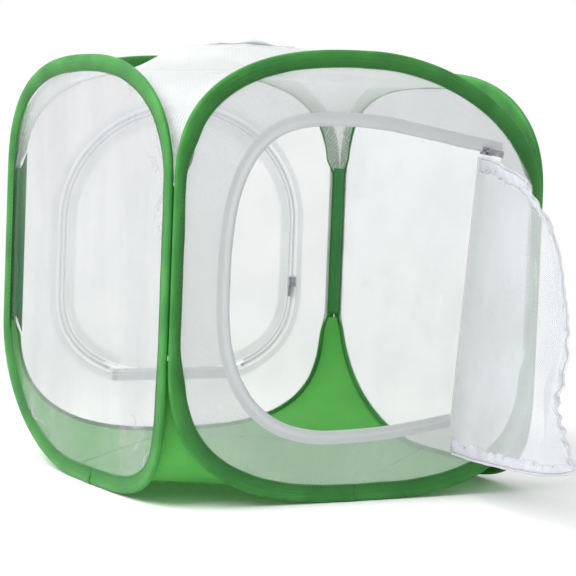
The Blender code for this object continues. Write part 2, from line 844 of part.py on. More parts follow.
def sheet_solid(grid, halves, outward):
    """Close a grid of points into a sheet, each column with its own half thickness."""
    bm = bmesh.new()
    skins = []
    for sign in (-1, 1):
        skins.append([[bm.verts.new(p + outward * sign * half) for p in column]
                      for column, half in zip(grid, halves)])
    for skin in skins:
        for a, b in zip(skin, skin[1:]):
            for i in range(len(a) - 1):
                bm.faces.new((a[i], a[i + 1], b[i + 1], b[i]))
    low, high = skins
    rim = [(i, 0) for i in range(len(grid))] + [(-1, j) for j in range(1, len(grid[0]))]
    rim += [(i, -1) for i in range(len(grid) - 2, -1, -1)]
    rim += [(0, j) for j in range(len(grid[0]) - 2, 0, -1)]
    for (i, j), (k, m) in zip(rim, rim[1:] + rim[:1]):
        bm.faces.new((low[i][j], low[k][m], high[k][m], high[i][j]))
    return bm


def make_door_leaf():
    columns = bead_columns(bead_radius)
    rows = [j / leaf_rows for j in range(leaf_rows + 1)]
    grid = [[leaf_point(0, v, u) for v in rows] for u, _ in columns] + leaf_grid()
    halves = [half for _, half in columns] + [mesh_thickness / 2] * leaf_columns
    bm = sheet_solid(grid, halves, leaf_outward)
    origin = faces["front"].point(*hinge_point(hinge_bottom_z), leaf_standoff)
    add_object("door_leaf", bm, white_mesh(), origin, smooth_angle=math.radians(40))
    return origin


def offset_in_plane(points, normal, distance):
    """Move an open path in a plane sideways, to the right of its run."""
    moved = []
    for i, p in enumerate(points):
        sides = []
        for a, b in zip(points[max(i - 1, 0):i + 1], points[max(i, 1):i + 2]):
            sides.append((b - a).cross(normal).normalized())
        middle = sum(sides, Vector()) / len(sides)
        moved.append(p + middle / middle.length_squared * distance)
    return moved


def make_leaf_zip(origin):
    grid = leaf_grid()
    near = mesh_thickness / 2 + fit_gap
    bm = bmesh.new()
    verts = [[bm.verts.new(p + leaf_outward * near) for p in column] for column in grid]
    for i in range(leaf_columns - 1):
        for j in range(leaf_rows):
            if i == leaf_columns - 2 or j in (0, leaf_rows - 1):
                bm.faces.new((verts[i][j], verts[i + 1][j], verts[i + 1][j + 1], verts[i][j + 1]))
    spare = [v for v in bm.verts if not v.link_faces]
    bmesh.ops.delete(bm, geom=spare, context="VERTS")
    made = bmesh.ops.extrude_face_region(bm, geom=bm.faces[:])
    moved = [item for item in made["geom"] if isinstance(item, bmesh.types.BMVert)]
    bmesh.ops.translate(bm, verts=moved, vec=leaf_outward * zip_tape_thickness)
    add_object("door_leaf_zip_tape", bm, white_tape(), origin)
    border = [column[-1] for column in grid] + grid[-1][-2:0:-1] + [c[0] for c in grid[::-1]]
    level = leaf_outward * (near + zip_tape_thickness / 2)
    line = offset_in_plane(border, leaf_outward, coil_offset)
    tube("door_leaf_zip_coil", [p + level for p in line], coil_radius, coil_sides, nylon_coil())


def back_half_at(z, less):
    """Half width of the back door at a height, drawn in by less all round."""
    half = back_half_width - less
    if z > back_shoulder_z:
        share = (z - back_shoulder_z) / (back_crown_z - less - back_shoulder_z)
        return half * max(1 - share ** back_upper_power, 0) ** (1 / back_upper_power)
    if z < back_knee_z:
        share = (back_knee_z - z) / (back_knee_z - back_foot_z - less)
        return half * max(1 - share ** back_lower_power, 0) ** (1 / back_lower_power)
    return half


def make_back_leaf():
    """The back door's leaf: a rolled lower edge on the hinge, then flat mesh up to the crown."""
    face = faces["back"]
    less = second_tape_offset + panel_overhang
    mid = (panel_face + panel_back) / 2
    settle = (back_standoff - mid) * 2
    rise = back_crown_z - less - back_hinge_z
    last_share = 1 - zip_tape_width / rise / 10
    tall = [(d, half, back_standoff) for d, half in bead_columns(back_bead_radius)]
    tall.append((settle, mesh_thickness / 2, mid))
    for i in range(1, back_leaf_columns + 1):
        share = math.sin(i / back_leaf_columns * math.pi / 2) * last_share
        d = settle + (rise - settle) * share
        tall.append((d, mesh_thickness / 2, mid))
    grid = []
    first_half = back_half_at(back_hinge_z + settle, less)
    for d, _, t in tall:
        z = back_hinge_z + d
        half = back_half_at(z, less) if d > settle else first_half
        grid.append([face.point(back_mid_x + half * (2 * j / back_leaf_rows - 1), z, t)
                     for j in range(back_leaf_rows + 1)])
    bm = sheet_solid(grid, [half for _, half, _ in tall], face.outward)
    origin = face.point(back_mid_x, back_hinge_z, back_standoff)
    add_object("back_leaf", bm, white_mesh(), origin, smooth_angle=math.radians(40))


def make_back_zip():
    face = faces["back"]
    path = back_zip_line()
    make_panel_zip("back", path, face)
    outer = offset_path(path, -second_tape_offset)[1:-1]
    inner = offset_path(path, -second_tape_offset - zip_tape_width)[1:-1]
    band("back_leaf_zip_tape", outer, inner, face, zip_tape_back, zip_tape_face, white_tape())
    coil = offset_path(path, -second_coil_offset)[1:-1]
    tube("back_leaf_zip_coil", [face.point(u, z, zip_tape_mid) for u, z in coil],
         coil_radius, coil_sides, nylon_coil())
    clear = coil_offset + stop_length + stop_width / 2 + fit_gap
    left, right = path[-1][0] + clear, path[0][0] - clear
    top = back_hinge_z - back_bead_radius - fit_gap
    outline = [(left, top - hinge_tape_width), (right, top - hinge_tape_width), (right, top),
               (left, top)]
    plate("back_hinge_tape", outline, [], face, zip_tape_back, zip_tape_face, white_tape())


def clear_scene():
    for obj in list(bpy.data.objects):
        bpy.data.objects.remove(obj, do_unlink=True)


def main():
    clear_scene()
    for side in faces:
        make_binding(side)
        make_wire(side)
        make_ferrule(side)
    make_wall_panels()
    make_top_and_floor()
    for name, sx, sy in (("front_left", -1, -1), ("front_right", 1, -1),
                         ("back_left", -1, 1), ("back_right", 1, 1)):
        make_corner_strip("corner_strip_" + name, sx, sy)
    make_strap()
    make_panel_zip("door", door_zip_line(), faces["front"])
    make_hinge_tape()
    make_leaf_zip(make_door_leaf())
    make_back_leaf()
    make_back_zip()
    make_sliders()


main()
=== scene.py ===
# Pop-up insect cage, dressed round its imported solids: taped wire loops, net walls, a clear film
# window, a green cloth floor, an open zip door on the front and a closed one on the back.
import math

import bmesh
import bpy
from mathutils import Matrix, Vector, noise


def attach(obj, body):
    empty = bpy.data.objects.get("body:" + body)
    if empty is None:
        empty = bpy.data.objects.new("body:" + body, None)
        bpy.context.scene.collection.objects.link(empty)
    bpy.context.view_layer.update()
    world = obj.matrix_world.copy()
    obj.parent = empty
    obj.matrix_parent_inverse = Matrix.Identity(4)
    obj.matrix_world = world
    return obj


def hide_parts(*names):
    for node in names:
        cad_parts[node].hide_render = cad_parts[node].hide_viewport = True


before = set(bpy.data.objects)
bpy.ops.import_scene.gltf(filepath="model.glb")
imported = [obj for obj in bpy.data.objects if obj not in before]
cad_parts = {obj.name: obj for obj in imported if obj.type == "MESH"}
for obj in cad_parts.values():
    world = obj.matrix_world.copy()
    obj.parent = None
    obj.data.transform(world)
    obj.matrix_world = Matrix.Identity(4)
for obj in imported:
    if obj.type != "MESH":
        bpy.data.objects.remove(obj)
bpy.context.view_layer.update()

print("stage: frame loaded")

# Sizes that all pieces share, in metres
cage = {
    "height": 0.305, "width": 0.2912, "depth": 0.2822, "sideDrop": 0.0072,
    "seamLow": 0.101, "seamHigh": 0.21,
    # how square each corner is: upper right, upper left, lower left, lower right
    "powers": {"front": (1.9, 2.58, 2.62, 2.92), "back": (2.74, 2.58, 2.62, 2.92),
               "left": (2.31, 2.65, 1.92, 4.4), "right": (2.31, 3.1, 1.92, 4.4)},
    "fold": 0.0025, "setback": 0.00125, "tapeWidth": 0.012, "panelOut": 0.00135,
    "panelInset": 0.0034, "tableSteps": 480,
}
halfW, halfD, fold = cage["width"] / 2, cage["depth"] / 2, cage["fold"]
sides = {
    "front": (Vector((0, -halfD, 0)), Vector((1, 0, 0)), Vector((0, -1, 0))),
    "back": (Vector((0, halfD, 0)), Vector((1, 0, 0)), Vector((0, 1, 0))),
    "left": (Vector((-halfW, 0, 0)), Vector((0, -1, 0)), Vector((-1, 0, 0))),
    "right": (Vector((halfW, 0, 0)), Vector((0, -1, 0)), Vector((1, 0, 0))),
}


def onSide(side, u, z, t):
    origin, right, out = sides[side]
    return origin + right * u + Vector((0, 0, z)) + out * t


def mix(a, b, f):
    return a + (b - a) * f


def smooth(f):
    f = min(max(f, 0.0), 1.0)
    return f * f * (3 - 2 * f)


def wave(x, y, z, size, seed=0.0):
    # Soft noise between -1 and 1, whose lumps are size metres across.
    return noise.noise(Vector((x / size + seed, y / size, z / size)))


def superQuarter(power, steps, last=math.pi / 2):
    # A quarter of a rounded square, from its side towards its top.
    return [(abs(math.cos(t)) ** (2 / power), math.sin(t) ** (2 / power))
            for t in (last * i / steps for i in range(steps + 1))]


# The line that a loop follows
def quarterPoints(side, sx, sz, steps=60):
    front = side in ("front", "back")
    half = (halfW if front else halfD) - cage["setback"]
    height = cage["height"] if front else cage["height"] - cage["sideDrop"]
    power = cage["powers"][side][{(1, 1): 0, (-1, 1): 1, (-1, -1): 2, (1, -1): 3}[(sx, sz)]]
    start = cage["seamHigh"] if sz > 0 else cage["seamLow"]
    rise = height - start if sz > 0 else start
    return [(sx * half * a, start + sz * rise * b) for a, b in superQuarter(power, steps)]


def evenly(points, count, closed):
    # The same line in count even steps, as (u, z) pairs.
    line = points + points[:1] if closed else points
    gone = [0.0]
    for a, b in zip(line, line[1:]):
        gone.append(gone[-1] + math.dist(a, b))
    out, k = [], 0
    total = count if closed else count - 1
    for i in range(count):
        want = gone[-1] * i / total
        while k < len(gone) - 2 and gone[k + 1] < want:
            k += 1
        f = (want - gone[k]) / max(gone[k + 1] - gone[k], 1e-9)
        out.append((mix(line[k][0], line[k + 1][0], f), mix(line[k][1], line[k + 1][1], f)))
    return out, gone[-1]


loopTables, loopLengths = {}, {}
for side in sides:
    ring = quarterPoints(side, 1, -1)[::-1] + quarterPoints(side, 1, 1)
    ring += quarterPoints(side, -1, 1)[::-1][1:] + quarterPoints(side, -1, -1)[:-1]
    table, length = evenly(ring, cage["tableSteps"], True)
    loopTables[side], loopLengths[side] = table, length


def loopAt(side, f, inset=0.0):
    # Point of a loop's outer edge at a share of its length, moved inward; and the inward way.
    table = loopTables[side]
    n = len(table)
    x = (f % 1.0) * n
    i, k = int(x) % n, x - int(x)
    a, b = table[i], table[(i + 1) % n]
    before, after = table[(i - 2) % n], table[(i + 3) % n]
    du, dz = after[0] - before[0], after[1] - before[1]
    size = math.hypot(du, dz)
    nu, nz = -dz / size, du / size
    return mix(a[0], b[0], k) + nu * inset, mix(a[1], b[1], k) + nz * inset, nu, nz


# Making pieces
making = {"merge": 2e-6, "cutWithin": 1e-5, "gridHalf": 0.15, "gridTop": 0.31,
          "joinBend": 0.5, "joinShape": 0.6}


def linked(name, data):
    obj = bpy.data.objects.new(name, data)
    bpy.context.scene.collection.objects.link(obj)
    return obj


def finish(name, bm, mat, body, thick=0.0, solid=None):
    # The piece, riding on its body; solid is the one it takes the place of.
    bmesh.ops.remove_doubles(bm, verts=bm.verts, dist=making["merge"])
    mesh = bpy.data.meshes.new(name)
    bm.to_mesh(mesh)
    bm.free()
    mesh.shade_smooth()
    mesh.materials.append(mat)
    obj = linked(name, mesh)
    if thick:
        mod = obj.modifiers.new("cloth", "SOLIDIFY")
        mod.thickness, mod.offset = thick, 0.0
        mod.use_quality_normals = True
    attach(obj, body)
    if solid:
        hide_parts(solid)
    return obj


def cloth(across, along, place, uv, bm=None):
    # A grid of cloth: place(f, g) gives each point, uv(f, g) where the weave lies, in metres.
    bm = bm or bmesh.new()
    layer = bm.loops.layers.uv.get("weave") or bm.loops.layers.uv.new("weave")
    made = bmesh.ops.create_grid(bm, x_segments=across, y_segments=along, size=0.5)
    flat = {v: (v.co.x + 0.5, v.co.y + 0.5) for v in made["verts"]}
    for face in {face for v in made["verts"] for face in v.link_faces}:
        for corner in face.loops:
            corner[layer].uv = uv(*flat[corner.vert])
    for v, (f, g) in flat.items():
        v.co = place(f, g)
    return bm


def flatSheet(side, outline, holes, out, step, lift):
    # A flat panel cut to its outline, with a fine grid of creases that lift(u, z) can move.
    d = making
    origin, right, outward = sides[side]
    bm = bmesh.new()
    edges = []
    for points in [outline] + holes:
        ring = [bm.verts.new(onSide(side, u, z, out)) for u, z in points]
        edges += [bm.edges.new((a, b)) for a, b in zip(ring, ring[1:] + ring[:1])]
    bmesh.ops.triangle_fill(bm, edges=edges, use_beauty=True, use_dissolve=False)
    for way, low, high in ((right, -d["gridHalf"], d["gridHalf"]),
                           (Vector((0, 0, 1)), 0.0, d["gridTop"])):
        for i in range(int((high - low) / step) + 1):
            co = origin + way * (low + i * step)
            geom = bm.verts[:] + bm.edges[:] + bm.faces[:]
            bmesh.ops.bisect_plane(bm, geom=geom, dist=d["cutWithin"], plane_co=co, plane_no=way)
    bmesh.ops.join_triangles(bm, faces=bm.faces, angle_face_threshold=d["joinBend"],
                             angle_shape_threshold=d["joinShape"])
    for face in bm.faces:
        if face.normal.dot(outward) < 0:
            face.normal_flip()
    layer = bm.loops.layers.uv.new("weave")
    for face in bm.faces:
        for corner in face.loops:
            offset = corner.vert.co - origin
            corner[layer].uv = (offset.dot(right), offset.z)
    for v in bm.verts:
        offset = v.co - origin
        v.co += outward * lift(offset.dot(right), offset.z)
    return bm


def bead(bm, spot, ways, size):
    # A small bead with its three half sizes along three ways.
    matrix = Matrix.Translation(spot) @ Matrix(ways).transposed().to_4x4()
    bmesh.ops.create_icosphere(bm, subdivisions=1, radius=1.0,
                               matrix=matrix @ Matrix.Diagonal((*size, 1)))


def dressSolids(mat, starts=(), ends=()):
    # The solids that show as they are get their material.
    for name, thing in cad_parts.items():
        if name.startswith(starts) or name.endswith(ends):
            thing.data.materials.clear()
            thing.data.materials.append(mat)


def rightOf(points, distance):
    # An open line moved to the right of its run.
    moved = []
    for i, (u, z) in enumerate(points):
        a, b = points[max(i - 1, 0)], points[min(i + 1, len(points) - 1)]
        size = math.dist(a, b) or 1
        moved.append((u + (b[1] - a[1]) / size * distance, z - (b[0] - a[0]) / size * distance))
    return moved


# Materials
def fill(tree, made, values):
    # A node's inputs: numbers and colours are set, outputs of other nodes are wired.
    for label, value in values.items():
        socket = made.inputs[label]
        if isinstance(value, bpy.types.NodeSocket):
            tree.links.new(value, socket)
        else:
            socket.default_value = (*value, 1.0) if socket.type == "RGBA" else value


def node(tree, kind, values, out=0, **settings):
    # A shader node with its settings and inputs, known by one of its outputs.
    made = tree.nodes.new("ShaderNode" + kind)
    for label, value in settings.items():
        setattr(made, label, value)
    fill(tree, made, values)
    return made.outputs[out]


def maths(tree, kind, a, b=0.0):
    return node(tree, "Math", {0: a, 1: b}, operation=kind)


def plus(tree, total, *others):
    for value in others:
        total = maths(tree, "ADD", total, value)
    return total


def times(tree, total, *others):
    for value in others:
        total = maths(tree, "MULTIPLY", total, value)
    return total


def ranged(tree, value, low, high, outLow, outHigh):
    values = dict(enumerate((value, low, high, outLow, outHigh)))
    return node(tree, "MapRange", values, interpolation_type="SMOOTHSTEP")


def noiseNode(tree, vector, scale, detail=3.0, rough=0.55):
    return node(tree, "TexNoise", {"Vector": vector, "Scale": scale, "Detail": detail,
                                   "Roughness": rough}, "Fac")


def mapped(tree, vector, scale, turn=0.0):
    return node(tree, "Mapping", {"Vector": vector, "Scale": scale, "Rotation": (0.0, 0.0, turn)})


def split(tree, vector):
    made = tree.nodes.new("ShaderNodeSeparateXYZ")
    fill(tree, made, {0: vector})
    return made.outputs[:]


def uvOf(tree):
    return node(tree, "UVMap", {}, uv_map="weave")


def objectOf(tree):
    return node(tree, "TexCoord", {}, "Object")


def colourMix(tree, factor, a, b):
    return node(tree, "Mix", {0: factor, 6: a, 7: b}, 2, data_type="RGBA")


def mixShaders(tree, factor, a, b):
    return node(tree, "MixShader", {0: factor, 1: a, 2: b})


def show(tree, shader, output="Material Output"):
    fill(tree, tree.nodes[output], {"Surface": shader})


def bump(tree, shader, height, strength, distance):
    normal = node(tree, "Bump", {"Strength": strength, "Distance": distance, "Height": height})
    fill(tree, shader, {"Normal": normal})


def newGroup(name, values, outs):
    # A node group that takes a vector and some values, and gives numbers.
    group = bpy.data.node_groups.new(name, "ShaderNodeTree")
    group.interface.new_socket("Vector", in_out="INPUT", socket_type="NodeSocketVector")
    for label in values:
        group.interface.new_socket(label, in_out="INPUT", socket_type="NodeSocketFloat")
    for label in outs:
        group.interface.new_socket(label, in_out="OUTPUT", socket_type="NodeSocketFloat")
    return group, group.nodes.new("NodeGroupInput").outputs, group.nodes.new("NodeGroupOutput")


def makeNetGroup():
    # Fine knitted net: six-sided holes between threads, a little uneven.
    group, given, gout = newGroup("netThreads", ["Cells per metre", "Thread", "Least"],
                                  ["Cover", "Height"])
    cells = {"Vector": mapped(group, given["Vector"], (1.0, 1.155, 1.0), 0.52),
             "Scale": given["Cells per metre"], "Randomness": 0.5}
    away = node(group, "TexVoronoi", cells, "Distance", feature="DISTANCE_TO_EDGE",
                voronoi_dimensions="2D")
    solid = times(group, given["Thread"], 0.55)
    thread = ranged(group, away, solid, given["Thread"], 1.0, 0.0)
    fill(group, gout, {"Cover": maths(group, "MAXIMUM", thread, given["Least"]),
                       "Height": thread})
    return group


def makeWeaveGroup():
    # Plain weave: over-and-under threads, with slubs.
    group, given, gout = newGroup("plainWeave", ["Threads per metre"], ["Height", "Slub"])
    turn = times(group, given["Threads per metre"], math.pi)
    u, v = (maths(group, "SINE", times(group, part, turn))
            for part in split(group, given["Vector"])[:2])
    slub = noiseNode(group, mapped(group, given["Vector"], (60.0, 900.0, 1.0)), 1.0)
    fill(group, gout, {"Height": maths(group, "ABSOLUTE", times(group, u, v)),
                       "Slub": slub})
    return group


netThreads, plainWeave = makeNetGroup(), makeWeaveGroup()


def newMaterial(name):
    mat = bpy.data.materials.new(name)
    mat.use_nodes = True
    tree = mat.node_tree
    return mat, tree, tree.nodes["Principled BSDF"]


def placeGroup(tree, group, values):
    made = tree.nodes.new("ShaderNodeGroup")
    made.node_tree = group
    fill(tree, made, values)
    return made.outputs


def throughLight(tree, shader, colour, share, cover=None):
    # Thin cloth: part of the light comes through it, and holes in it show what is behind.
    glow = node(tree, "BsdfTranslucent", {"Color": colour})
    last = mixShaders(tree, share, shader.outputs[0], glow)
    if cover is not None:
        last = mixShaders(tree, cover, node(tree, "BsdfTransparent", {}), last)
    show(tree, last)


# A tuple of four goes to ranged: the range that is read, and the range that is given.
netLooks = {
    "cells": 980.0, "colour": (0.83, 0.84, 0.87), "shade": (0.74, 0.76, 0.79), "rough": 0.75,
    "sheen": 0.2, "gloss": 0.25, "through": 0.45, "bump": 0.2, "relief": 0.0001,
    "driftSize": 22.0, "drift": (0.35, 0.65, 0.0, 1.0), "slanted": (0.66, 1.0, 0.0, 0.9),
    "hem": 0.01, "hemLow": 0.094, "hemHigh": 0.216, "hemSoft": 0.0006, "hemEnd": 0.002,
    "hemCover": 0.92, "hemThrough": 0.1,
}


def netMaterial(name, least, thread, colour=None, shade=None, hemEdge=None):
    # Net; hemEdge is how far out the wall reaches, where its doubled side hems lie.
    d = netLooks
    mat, tree, shader = newMaterial(name)
    uv = uvOf(tree)
    net = placeGroup(tree, netThreads, {"Vector": uv, "Cells per metre": d["cells"],
                                        "Thread": thread, "Least": least})
    drift = ranged(tree, noiseNode(tree, objectOf(tree), d["driftSize"]), *d["drift"])
    tint = colourMix(tree, drift, shade or d["shade"], colour or d["colour"])
    facing = node(tree, "LayerWeight", {"Blend": 0.5}, "Facing")
    cover = maths(tree, "MAXIMUM", net["Cover"], ranged(tree, facing, *d["slanted"]))
    through = d["through"]
    if hemEdge:
        u, z, _ = split(tree, uv)
        start, low, high = hemEdge - d["hem"], d["hemLow"], d["hemHigh"]
        far = maths(tree, "ABSOLUTE", u)
        hem = times(tree, ranged(tree, far, start, start + d["hemSoft"], 0.0, d["hemCover"]),
                    ranged(tree, z, low - d["hemEnd"], low, 0.0, 1.0),
                    ranged(tree, z, high, high + d["hemEnd"], 1.0, 0.0))
        cover = maths(tree, "MAXIMUM", cover, hem)
        through = ranged(tree, hem, 0.0, 0.9, through, d["hemThrough"])
    throughLight(tree, shader, tint, through, cover)
    fill(tree, shader, {"Base Color": tint, "Roughness": d["rough"], "Sheen Weight": d["sheen"],
                        "Specular IOR Level": d["gloss"]})
    bump(tree, shader, net["Height"], d["bump"], d["relief"])
    return mat


clothLooks = {
    "patchSize": 35.0, "patches": (0.3, 0.7, 0.0), "grain": 0.35, "slub": (0.35, 0.7, 0.0, 0.25),
    "lineCore": 0.3, "shadeLineDark": 0.45, "rougher": 0.12, "smoother": 0.05, "bump": 0.55,
    "relief": 0.00012,
}


def clothMaterial(name, colour, dark, threads, rough, through=None, share=0.3, sheen=0.2,
                  worn=0.35, sewnShadeLines=(), gloss=0.3):
    # Woven cloth or tape: threads in relief, slubs, and paler or darker patches.
    d = clothLooks
    mat, tree, shader = newMaterial(name)
    uv = uvOf(tree)
    weave = placeGroup(tree, plainWeave, {"Vector": uv, "Threads per metre": threads})
    patches = noiseNode(tree, objectOf(tree), d["patchSize"], 4.0)
    grain = times(tree, maths(tree, "SUBTRACT", 1.0, weave["Height"]), d["grain"])
    darker = plus(tree, ranged(tree, patches, *d["patches"], worn), grain,
                    ranged(tree, weave["Slub"], *d["slub"]))
    tint = colourMix(tree, darker, colour, dark)
    for at, wide, depth in sewnShadeLines:  # darker lines by how far across the tape they run: the sewn line with painted shade in its groove, and bands of painted shade
        off = maths(tree, "ABSOLUTE", maths(tree, "SUBTRACT", split(tree, uv)[1], at))
        shadeMask = ranged(tree, off, wide * d["lineCore"], wide, depth, 0.0)
        tint = colourMix(tree, shadeMask, tint, tuple(c * d["shadeLineDark"] for c in dark))
    fill(tree, shader, {
        "Base Color": tint, "Sheen Weight": sheen, "Specular IOR Level": gloss,
        "Roughness": ranged(tree, weave["Height"], 0.0, 1.0, rough + d["rougher"],
                            rough - d["smoother"])})
    bump(tree, shader, weave["Height"], d["bump"], d["relief"])
    if through:
        throughLight(tree, shader, through, share)
    return mat


filmLooks = {
    "colour": (0.38, 0.385, 0.4), "ior": 1.45, "bump": 0.15, "relief": 0.0008,
    "streak": (16.0, 2.0, 1.0), "lean": 0.05, "haze": (0.38, 0.68, 0.15, 0.32),
    "scuff": 260.0, "spots": (0.64, 0.74, 0.0, 0.04), "rough": (0.4, 0.7, 0.06, 0.2),
    # rings of haze inside the loop, painted highlights for the glints on the film's creases
    "middle": 0.15, "half": 0.149, "square": 2.6, "rings": 26.0, "wander": 30.0,
    "wanderSize": 26.0, "edge": (0.52, 0.86, 0.0, 1.0), "breakSize": 12.0,
    "broken": (0.44, 0.62, 0.0, 1.0), "ring": (0.72, 1.0, 0.0, 0.42),
    # milkier near the top, clearer by the far upright, from there inward
    "upper": (0.17, 0.3, 0.0, 0.14), "clearFrom": 0.028, "clearTo": 0.06, "clear": 0.1,
}


def filmMaterial():
    # Clear soft film: glossy, faintly milky, with fine drawn streaks and scuffs.
    d = filmLooks
    mat, tree, shader = newMaterial("clearFilm")
    uv = uvOf(tree)
    u, z, _ = split(tree, uv)
    streaks = noiseNode(tree, mapped(tree, uv, d["streak"], d["lean"]), 1.0, 3.0, 0.5)
    scuffs = noiseNode(tree, uv, d["scuff"], 6.0, 0.7)
    tall = maths(tree, "DIVIDE", maths(tree, "SUBTRACT", z, d["middle"]), d["half"])
    out = plus(tree, *(maths(tree, "POWER", maths(tree, "ABSOLUTE", way), d["square"])
                         for way in (maths(tree, "DIVIDE", u, halfD), tall)))
    wander = times(tree, noiseNode(tree, uv, d["wanderSize"], 4.0, 0.6), d["wander"])
    rings = maths(tree, "SINE", plus(tree, times(tree, out, d["rings"]), wander))
    broken = noiseNode(tree, uv, d["breakSize"], 2.0)
    # painted highlight: rings of haze near the loop stand for the glints on the film's creases
    drawn = times(tree, ranged(tree, out, *d["edge"]), ranged(tree, broken, *d["broken"]),
                        ranged(tree, rings, *d["ring"]))
    cloudy = plus(tree, ranged(tree, streaks, *d["haze"]), ranged(tree, scuffs, *d["spots"]),
                    drawn, ranged(tree, z, *d["upper"]))
    clear = ranged(tree, u, d["clearFrom"] - halfD, d["clearTo"] - halfD, d["clear"], 1.0)
    fill(tree, shader, {"Alpha": times(tree, cloudy, clear), "IOR": d["ior"],
                        "Base Color": d["colour"], "Roughness": ranged(tree, scuffs, *d["rough"])})
    bump(tree, shader, streaks, d["bump"], d["relief"])
    return mat


def metalMaterial(name, colour, rough):
    # Plated metal with fine scratches, paler where it is worn.
    mat, tree, shader = newMaterial(name)
    place = objectOf(tree)
    scratches = noiseNode(tree, place, 2400.0, 4.0, 0.7)
    wear = ranged(tree, noiseNode(tree, place, 420.0), 0.45, 0.7, 0.0, 1.0)
    paler = tuple(min(1.0, c * 1.6) for c in colour)
    fill(tree, shader, {"Base Color": colourMix(tree, wear, colour, paler), "Metallic": 1.0,
                        "Roughness": ranged(tree, scratches, 0.3, 0.7, rough - 0.08, rough + 0.12)})
    bump(tree, shader, scratches, 0.15, 0.00005)
    return mat


def coilMaterial():
    mat, tree, shader = newMaterial("nylonCoil")
    turns = noiseNode(tree, objectOf(tree), 900.0, 2.0)
    tint = colourMix(tree, turns, (0.7, 0.71, 0.75), (0.84, 0.85, 0.88))
    fill(tree, shader, {"Base Color": tint, "Roughness": 0.38})
    bump(tree, shader, turns, 0.2, 0.0001)
    throughLight(tree, shader, (0.8, 0.8, 0.83), 0.5)
    return mat


# The green tape's darker lines are the sewn line with painted shade in its groove, a broad band of
# painted shade by the hem where the band turns in, and a painted crease shadow nearer the fold.
tapeGreen = clothMaterial("greenTape", (0.086, 0.395, 0.072), (0.034, 0.225, 0.04), 1900.0, 0.42,
                          (0.32, 0.84, 0.33), 0.35, 0.12, gloss=0.38, worn=0.75,
                          sewnShadeLines=((0.0016, 0.0006, 0.55), (0.003, 0.0046, 0.42),
                                 (0.0076, 0.0011, 0.36)))
stripGreen = clothMaterial("greenStrip", (0.04, 0.22, 0.06), (0.026, 0.15, 0.04), 1900.0, 0.6)
threadGreen = clothMaterial("greenThread", (0.04, 0.21, 0.05), (0.02, 0.12, 0.025), 4000.0,
                            0.5)
floorGreen = clothMaterial("greenCloth", (0.135, 0.52, 0.105), (0.09, 0.4, 0.07), 1500.0,
                           0.55, (0.38, 0.88, 0.34), 0.3, sheen=0.1)
# The same white zip tape in two copies, as painted shade and painted light: a greyer one on the
# front door's tape and the back hinge strip, and a paler one that lets more light through on the
# back door's tapes and the front hinge strip.
tapeWhite = clothMaterial("whiteTape", (0.68, 0.69, 0.71), (0.6, 0.61, 0.63), 1600.0, 0.7,
                          (0.76, 0.77, 0.79), 0.4)
tapePale = clothMaterial("paleTape", (0.8, 0.81, 0.83), (0.74, 0.75, 0.77), 1600.0, 0.7,
                         (0.86, 0.87, 0.88), 0.6)
hemWhite = clothMaterial("hemTape", (0.8, 0.81, 0.84), (0.71, 0.72, 0.75), 1400.0, 0.75,
                         (0.88, 0.89, 0.91), 0.6, worn=0.8)
# The strap's colour is greyed as painted shade, for the shading of its crumpled lump.
strapWhite = clothMaterial("whiteStrap", (0.8, 0.8, 0.84), (0.68, 0.69, 0.73), 1200.0, 0.7,
                           (0.86, 0.86, 0.9), 0.3)
# The same white net gets a different colour on each wall, as painted light and shade: greyer on the
# front, the top and the door leaf, paler on the back and the right side.
netFront = netMaterial("netFront", 0.33, 0.15, (0.66, 0.67, 0.69), (0.6, 0.61, 0.63), halfW)
netBack = netMaterial("netBack", 0.32, 0.15, (0.88, 0.88, 0.9), (0.8, 0.81, 0.83), halfW)
netSide = netMaterial("netSide", 0.32, 0.15, hemEdge=halfD)
netTop = netMaterial("netTop", 0.6, 0.18, (0.77, 0.77, 0.79), (0.7, 0.7, 0.72))
netDoor = netMaterial("netDoor", 0.45, 0.17, (0.64, 0.66, 0.69), (0.57, 0.59, 0.61))
film = filmMaterial()
zipMetal = metalMaterial("sliderMetal", (0.3, 0.3, 0.33), 0.34)
wireSteel = metalMaterial("springSteel", (0.46, 0.46, 0.48), 0.28)
coilNylon = coilMaterial()
print("stage: materials made")

# Folded tape round each wire loop
tapeBuild = {
    "thick": 0.0005, "turnIn": 0.0118, "turnSewn": 0.006, "along": 300, "across": 28,
    "pucker": 0.00055, "puckerSize": 0.009, "wander": 0.00045, "wanderSize": 0.021,
    "drawnIn": {"front": 0.004, "back": 0.0046, "right": 0.0046, "left": 0.0016},
    "half": 0.0019, "hemOut": 0.0007, "hemIn": 0.0004, "puff": 0.0005,
    "joins": {"front": 0.988, "left": 0.021, "right": 0.06, "back": 0.95},
    "seeds": {"front": 1.3, "back": 5.9, "left": 9.1, "right": 14.7},
    # the overlap of the tape's ends, which is thinner just above the ground
    "overlap": 0.011, "lapOut": 0.001, "lapDown": 0.3, "lapFoot": 0.004,
    "stitchHem": 0.0016, "stitchDip": 0.7, "dipWide": 0.0007, "stitchPitch": 0.0034,
    "stitchLong": 0.0011, "stitchFat": 0.00024, "stitchProud": 0.00006,
    # below the lower end of the sewn stretch and to full, then the same above its upper end
    "turnSpan": (0.016, 0.016, 0.02, 0.016), "bandSpan": (0.024, 0.03, 0.04, 0.036),
}


def sewnShare(z, below, lowRamp, above, highRamp):
    # 1 along the stretch where two loops are sewn together, and 0 away from it.
    low = smooth((z - cage["seamLow"] + below) / lowRamp)
    return low * smooth((cage["seamHigh"] + above - z) / highRamp)


def widthsAt(side, f):
    # How wide the outer band and the inner turn are: narrower on the sewn stretch.
    d, z = tapeBuild, loopAt(side, f)[1]
    band = cage["tapeWidth"] - d["drawnIn"][side] * sewnShare(z, *d["bandSpan"])
    return band, mix(d["turnIn"], d["turnSewn"], sewnShare(z, *d["turnSpan"]))


